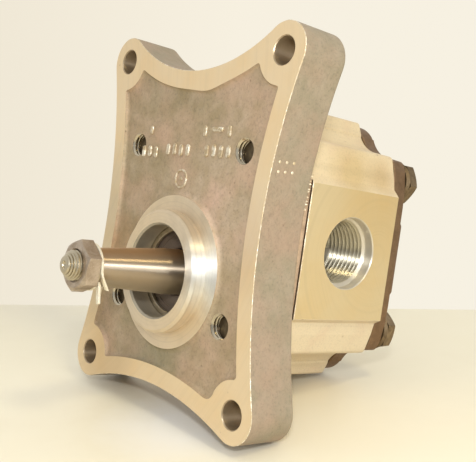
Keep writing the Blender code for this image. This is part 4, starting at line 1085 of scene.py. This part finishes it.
ko = key_outline(KEY_D / 2, KEY_TOP)
key = loft("woodruff_key", [[(x, y, z) for x, y in inset(ko, 0.2)] for z in (-KEY_W / 2,)] +
           [[(x, y, z) for x, y in ko] for z in (-KEY_W / 2 + 0.2, KEY_W / 2 - 0.2)] +
           [[(x, y, z) for x, y in inset(ko, 0.2)] for z in (KEY_W / 2,)], "key")
finish_mesh(key, "drive_shaft", "shaft_key")

prof = [(0, DV_LO[1]), (JOURNAL_R - 0.8, DV_LO[1]), (JOURNAL_R, DV_LO[1] + 0.8), (JOURNAL_R, GEAR_Y0 - 1.4),
        (JOURNAL_R - 0.3, GEAR_Y0 - 1.2), (JOURNAL_R - 0.3, GEAR_Y1 + 1.2), (JOURNAL_R, GEAR_Y1 + 1.4),
        (JOURNAL_R, DV_HI[1] - 0.8), (JOURNAL_R - 0.8, DV_HI[1]), (0, DV_HI[1])]
driven = turn("driven_gear_finished", prof, 128, "shaft", centre=(0, 0, CENTRE_DIST))
go = [(x, z + CENTRE_DIST) for x, z in gear_outline(pi / 2 + pi / TEETH)]
boolean(driven, [loft("dteeth", [at_y(inset(go, 0.25), GEAR_Y0), at_y(go, GEAR_Y0 + 0.25), at_y(go, GEAR_Y1 - 0.25),
                                 at_y(inset(go, 0.25), GEAR_Y1)], "gear")], "UNION")
finish_mesh(driven, "driven_shaft", "driven_gear_shaft", 24)

# ----------------------------------------------------------------------------
# Nut, tab washer, retaining ring, seal
# ----------------------------------------------------------------------------


def hexagon(af, first, n=14):
    """Hexagon corners, each with a 0.22 mm rounding for fillet_poly."""
    r = af / 2 / cos(pi / 6)
    c = [(r * cos(first + i * pi / 3), r * sin(first + i * pi / 3)) for i in range(6)]
    return [(x, z, 0.22) for x, z in c]


def hex_body(name, af, y0, y1, first, lo, hi, mat):
    pts = fillet_poly(hexagon(af, first))
    ob = loft(name, [at_y(pts, y0), at_y(pts, y1)], mat)
    r = af / 2 / cos(pi / 6)
    c = r - af / 2 + 0.45
    k = tan(radians(30))
    prof = [(0, y0)] + ([(r - c, y0), (r + 1.0, y0 + (c + 1.0) * k)] if lo else [(r + 1.0, y0)])
    prof += ([(r + 1.0, y1 - (c + 1.0) * k), (r - c, y1)] if hi else [(r + 1.0, y1)]) + [(0, y1)]
    return boolean(ob, [turn(name + "_env", prof, 120, mat)], "INTERSECT")


nut = hex_body("hex_nut", NUT_AF, NUT_Y0, NUT_Y1, radians(23), True, False, "nut")
boolean(nut, [helix("nut_thread", thread_form(STUD_R - 0.58, STUD_R + 0.12, 0.16, 0.14), 1.27, STUD_Y0 - 3, -33.0, 72, "stud"),
              turn("nut_mouth", [(0, NUT_Y0 - 1.5), (STUD_R + 2.4, NUT_Y0 - 1.5), (STUD_R - 0.7, NUT_Y0 + 1.2), (0, NUT_Y0 + 1.2)],
                   72, "nut")])
finish_mesh(nut, "drive_shaft", "shaft_nut")

# tab washer: a flat disc with one tongue left straight and one strip of rim bent back
wy = (W_LO[1] + W_HI[1]) / 2
wt = (W_HI[1] - W_LO[1]) / 2
w_in = STUD_R + GAP
disc = [(w_in, wy - wt), (8.65, wy - wt), (8.82, wy - wt + 0.15), (8.82, wy + wt - 0.15), (8.65, wy + wt), (w_in, wy + wt)]
washer = turn("lock_washer", disc, 120, "tab", closed=True)
sheared = arc(0, 0, 12.0, radians(-37), radians(-10), 8) + arc(0, 0, 7.5, radians(-10), radians(-37), 8)
boolean(washer, [loft("sheared", [at_y(sheared, wy - 1.5), at_y(sheared, wy + 1.5)], "tab")])
tail_pts = fillet_poly([(6.0, -4.6, 0.2), (8.15, -12.5, 0.5), (9.65, -12.2, 0.6), (8.3, -5.6, 0.8), (7.6, -4.6, 0.2)])
tail = loft("tail", [at_y(inset(tail_pts, 0.12), wy - wt + 0.02), at_y(tail_pts, wy - wt + 0.14), at_y(tail_pts, wy + wt - 0.14),
                     at_y(inset(tail_pts, 0.12), wy + wt - 0.02)], "tab")
path = [((8.05, wy + 0.02, 0.6), 0.0), ((8.25, wy + 0.05, -0.9), 0.0), ((8.45, wy + 0.3, -2.2), 8.0), ((8.6, wy + 0.9, -3.6), 16.0),
        ((8.65, wy + 1.7, -5.0), 24.0), ((8.6, wy + 2.5, -6.3), 30.0), ((8.45, wy + 3.1, -7.3), 34.0)]
ribs = []
for (px_, py_, pz_), tw in path:
    c_, s_ = cos(radians(tw)), sin(radians(tw))
    ribs.append([(px_ + u * c_, py_ + v + 0.35 * u * s_, pz_ - u * 0.15) for u, v in
                 ((-0.75, -0.46), (0.66, -0.46), (0.78, -0.34), (0.78, 0.34), (0.66, 0.46), (-0.75, 0.46))])
foot = loft("bent_strip", ribs, "tab")
boolean(washer, [tail, foot], "UNION")
finish_mesh(washer, "drive_shaft", "tab_washer")

gap_a = radians(16)
ring_y0, ring_y1 = R_LO[1], R_HI[1]
loop = arc(0, 0, 18.9, gap_a, 2 * pi - gap_a, 110)
loop += arc(0, 0, 14.6, 2 * pi - gap_a, 2 * pi - gap_a - radians(13), 6)
loop += arc(0, 0, 16.2, 2 * pi - gap_a - radians(16), gap_a + radians(16), 90)
loop += arc(0, 0, 14.6, gap_a + radians(13), gap_a, 6)
ring = loft("snap_ring", [at_y(inset(loop, 0.12), ring_y0), at_y(loop, ring_y0 + 0.12), at_y(loop, ring_y1 - 0.12),
                          at_y(inset(loop, 0.12), ring_y1)], "spring")
boolean(ring, [turn("eye_%d" % i, [(0, 1.0), (0.9, 1.0), (0.9, 6.0), (0, 6.0)], 24, "spring",
                    centre=(16.2 * cos(s * (gap_a + radians(6.5))), 0, 16.2 * sin(s * (gap_a + radians(6.5)))))
               for i, s in enumerate((-1, 1))])
finish_mesh(ring, "housing", "seal_retaining_ring")

seal = turn("lip_seal", [(17.75, 4.75), (17.8, 5.0), (17.8, 11.0), (17.5, 11.2), (15.8, 11.2), (15.6, 11.0), (15.6, 6.9),
                         (15.4, 6.7), (12.5, 6.7), (12.2, 6.9), (10.8, 10.1), (10.5, 10.4), (10.2, 10.3), (9.35, 9.5),
                         (9.3, 9.3), (9.9, 6.6), (9.9, 6.2), (9.4, 5.4), (9.4, 5.1), (10.2, 4.7), (10.6, 4.6), (13.0, 4.6),
                         (13.2, 4.95), (14.4, 4.95), (14.6, 4.6), (17.5, 4.6)], 120, "seal_case", closed=True)
finish_mesh(seal, "housing", "shaft_seal")

# ----------------------------------------------------------------------------
# Through bolts and washers
# ----------------------------------------------------------------------------
for k, (x, z) in BOLTS.items():
    lo, hi = extent("through_bolt_" + k)
    ph = radians(HEAD_PHASE[k])
    h0, h1 = 88.8, hi[1]
    b = hex_body("hex_bolt_" + k, HEAD_AF, h0 + 0.02, h1, ph, False, True, "bolt")
    flat = turn("head_flat", [(0, h0), (HEAD_AF / 2 - 0.4, h0), (HEAD_AF / 2 - 0.3, h0 + 0.1), (HEAD_AF / 2 - 0.3, h0 + 0.8),
                              (0, h0 + 0.8)], 72, "bolt")
    dish = turn("head_dish", [(0, h1 - 0.35), (5.6, h1 - 0.35), (6.0, h1 + 0.5), (0, h1 + 0.5)], 72, "bolt")
    boolean(b, [flat], "UNION")
    boolean(b, [dish])
    shank = turn("shank", [(0, 20.0), (4.1, 20.0), (BOLT_R - 0.05, 21.6), (BOLT_R - 0.05, h0 + 0.6), (0, h0 + 0.6)], 56, "bolt")
    boolean(b, [shank], "UNION")
    th = helix("bt", thread_form(4.18, 5.02), PITCH, -3.0, FLANGE_T + 1.5, 56, "bolt_thread", phase=ph)
    boolean(th, [turn("benv", [(0, lo[1]), (3.9, lo[1]), (5.2, lo[1] + 1.2), (5.2, 21.9), (0, 21.9)], 56, "bolt_thread")], "INTERSECT")
    boolean(b, [th], "UNION")
    b.location = (mm(x), 0, mm(z))
    bpy.context.view_layer.update()
    b.data.transform(b.matrix_world)
    b.location = (0, 0, 0)
    finish_mesh(b, "housing", "through_bolt_" + k)
    lo, hi = extent("bolt_washer_" + k)
    r1, r0 = (hi[0] - lo[0]) / 2, BOLT_R + 0.25
    w = turn("flat_washer_" + k, [(r1 - 1.0, lo[1]), (r1 - 0.25, lo[1] + 0.75), (r1, lo[1] + 1.2), (r1 - 0.1, hi[1] - 0.1), (r1 - 0.3, hi[1]), (r0 + 0.1, hi[1]),
                                  (r0, hi[1] - 0.1), (r0, lo[1] + 0.1), (r0 + 0.1, lo[1])], 72, "washer", centre=(x, 0, z), closed=True)
    finish_mesh(w, "housing", "bolt_washer_" + k)

# ----------------------------------------------------------------------------
# CAD nodes that stay: inner pieces, with finished materials
# ----------------------------------------------------------------------------
STAY = {"front_bearing_block": "bearing", "rear_bearing_block": "bearing", "front_drive_bush": "bronze",
        "front_driven_bush": "bronze", "rear_drive_bush": "bronze", "rear_driven_bush": "bronze",
        "front_pressure_seal": "rubber", "rear_pressure_seal": "rubber", "front_backup_ring": "plastic",
        "rear_backup_ring": "plastic", "front_body_seal": "rubber", "rear_body_seal": "rubber",
        "seal_garter_spring": "spring", "front_dowel_pin_upper": "key", "front_dowel_pin_lower": "key",
        "rear_dowel_pin_upper": "key", "rear_dowel_pin_lower": "key"}
for n, key_ in STAY.items():
    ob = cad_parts[n]
    ob.data.materials.clear()
    ob.data.materials.append(M[key_])

# ----------------------------------------------------------------------------
# Floor, light and camera
# ----------------------------------------------------------------------------
UP = Vector((0.0, -0.2026, 0.9793)).normalized()      # the pump rests tilted back on its cover
ACROSS = Vector((1, 0, 0))
DEPTH = UP.cross(ACROSS).normalized()                  # along the table, towards +Y
REST = Vector((0, mm(FLANGE_T - 1.2), mm(PATTERN_Z - HOLE_Z - LOBE_R - 0.25)))


def table_point(a, b, h=0.0):
    return REST + ACROSS * a + DEPTH * b + UP * h


def rgb(r, g, b):
    return lin(r, g, b)


CAM = Matrix(((0.649988, -0.117636, 0.750784, 0.249727), (0.746565, -0.085723, -0.659767, -0.185899),
              (0.141971, 0.989350, 0.032104, 0.029611), (0, 0, 0, 1)))
right, upv, back = (CAM.to_3x3() @ Vector(v) for v in ((1, 0, 0), (0, 1, 0), (0, 0, 1)))
eye = CAM.translation


def on_table(px, py):
    """Where the camera's ray through an image point meets the table."""
    k = 36.0 / 59.8287 / 476.0
    d = right * ((px - 238.0) * k) - upv * ((py - 231.0) * k) - back
    return eye + d * ((REST - eye).dot(UP) / d.dot(UP))


tm = Mat("table_top")
n1 = tm.noise(7.0, 3.0, 0.55)
n2 = tm.noise(400.0, 2.0, 0.5)
n3 = tm.noise(28.0, 4.0, 0.6)
tcol = tm.mix(tm.band(n1, 0.35, 0.7), rgb(242, 233, 209), rgb(245, 238, 218))
tcol = tm.mix(tm.math("MULTIPLY", tm.band(n3, 0.5, 0.75), 0.5), tcol, rgb(238, 228, 204))
# painted light on the table: a lighter, cooler patch under the flange lifts its shadow; the patches far left and front
# right are darker
lit_shadow_spot = on_table(190, 424) * 1000
tcol = tm.tinted(tcol, n3, [(tuple(lit_shadow_spot), 40, (1.06, 1.11, 1.30, 1)), ((-260, 60, -120), 150, (0.88, 0.87, 0.88, 1)), ((160, -110, -80), 120, (0.93, 0.955, 1.0, 1))])
tm.bsdf(Base__Color=tcol, Roughness=0.5, Normal=tm.bump(n2, 0.06, 0.0002))
far_l, far_r = on_table(5, 303), on_table(470, 308)
along = (far_r - far_l).normalized()
toward = UP.cross(along).normalized()
if (eye - far_l).dot(toward) < 0:
    toward = -toward
mid_edge = (far_l + far_r) / 2
prof = [(1.5, -0.03), (1.5, 0.0), (0.004, 0.0), (0.0025, -0.0004), (0.0012, -0.0013), (0.0004, -0.0025), (0.0, -0.0042), (0.0, -0.03)]
verts = [tuple(mid_edge + along * s + toward * d + UP * h) for s in (-1.5, 1.5) for d, h in prof]
k = len(prof)
faces = [(i, (i + 1) % k, k + (i + 1) % k, k + i) for i in range(k)] + [tuple(range(k)), tuple(range(k, 2 * k))]
table = to_object("table", verts, faces, metres=True)
table.data.materials.append(tm.m)
table.data.shade_smooth()
table.data.set_sharp_from_angle(angle=radians(50))

world = bpy.data.worlds.new("room")
SCENE.world = world
world.use_nodes = True
wn = world.node_tree
for n in list(wn.nodes):
    wn.nodes.remove(n)


def wnode(kind, props=None, ins=None):
    n = wn.nodes.new(kind)
    for k, v in (props or {}).items():
        setattr(n, k, v)
    for k, v in (ins or {}).items():
        if isinstance(v, bpy.types.NodeSocket):
            wn.links.new(v, n.inputs[k])
        else:
            n.inputs[k].default_value = v
    return n


def wramp(fac, stops):
    n = wnode("ShaderNodeValToRGB", ins={0: fac})
    cr = n.color_ramp
    while len(cr.elements) > 1:
        cr.elements.remove(cr.elements[-1])
    for i, (p, c) in enumerate(stops):
        el = cr.elements[0] if i == 0 else cr.elements.new(p)
        el.position, el.color = p, c
    return n.outputs["Color"]


def facing(direction):
    """0..1: how far the looking direction turns towards the given one."""
    d = wnode("ShaderNodeVectorMath", {"operation": "DOT_PRODUCT"},
              {0: wc.outputs["Generated"], 1: tuple(Vector(direction).normalized())})
    return wnode("ShaderNodeMath", {"operation": "MULTIPLY_ADD"}, {0: d.outputs["Value"], 1: 0.5, 2: 0.5}).outputs[0]


wc = wnode("ShaderNodeTexCoord")
upness = facing(UP)
around = wramp(facing((-0.75, 0.66, 0.0)), [(0.0, (0.50, 0.52, 0.53, 1)), (0.35, (0.55, 0.56, 0.55, 1)),
                                            (0.62, (0.80, 0.78, 0.72, 1)), (0.85, (0.98, 0.95, 0.88, 1))])
top_fac = wramp(upness, [(0.62, (0, 0, 0, 1)), (0.9, (1, 1, 1, 1))])
room = wnode("ShaderNodeMix", {"data_type": "RGBA"}, {0: top_fac, 6: around, 7: (0.80, 0.79, 0.74, 1)})
seen = wramp(facing(right), [(0.36, rgb(240, 232, 214)), (0.5, rgb(247, 240, 224)), (0.64, rgb(247, 241, 226))])
lp = wnode("ShaderNodeLightPath")
bg1 = wnode("ShaderNodeBackground", ins={0: room.outputs[2], 1: 1.0})
bg2 = wnode("ShaderNodeBackground", ins={0: seen, 1: 1.0})
pick = wnode("ShaderNodeMixShader", ins={0: lp.outputs["Is Camera Ray"], 1: bg1.outputs[0], 2: bg2.outputs[0]})
out = wnode("ShaderNodeOutputWorld", ins={0: pick.outputs[0]})


def area(name, pos, target, size_x, size_y, power, colour, spread=180):
    light = bpy.data.lights.new(name, "AREA")
    light.shape = "RECTANGLE"
    light.size, light.size_y = size_x, size_y
    light.energy = power
    light.color = colour
    light.spread = radians(spread)
    ob = bpy.data.objects.new(name, light)
    COLL.objects.link(ob)
    ob.location = pos
    ob.rotation_mode = "QUATERNION"
    ob.rotation_quaternion = (Vector(target) - Vector(pos)).to_track_quat("-Z", "Y")
    return ob


middle = Vector((0, 0.04, 0.015))
area("flash", eye + upv * 0.085 + back * 0.06, middle, 0.035, 0.035, 0.80, (0.95, 0.98, 1.0))
area("side", middle + Vector((0.96, -0.06, 0.225)) * 0.9, middle, 0.22, 0.44, 2.2, (0.93, 0.97, 1.0))
area("lamp", middle + Vector((0.62, -0.22, 0.76)) * 1.0, middle, 0.16, 0.12, 2.0, (1.0, 0.88, 0.55))

cam = bpy.data.cameras.new("camera")
cam.sensor_fit = "HORIZONTAL"
cam.sensor_width = 36.0
cam.lens = 59.8287
cam.clip_start, cam.clip_end = 0.01, 20.0
cam_ob = bpy.data.objects.new("camera", cam)
COLL.objects.link(cam_ob)
cam_ob.matrix_world = CAM
SCENE.camera = cam_ob
SCENE.view_settings.view_transform = "Standard"
SCENE.view_settings.look = "None"
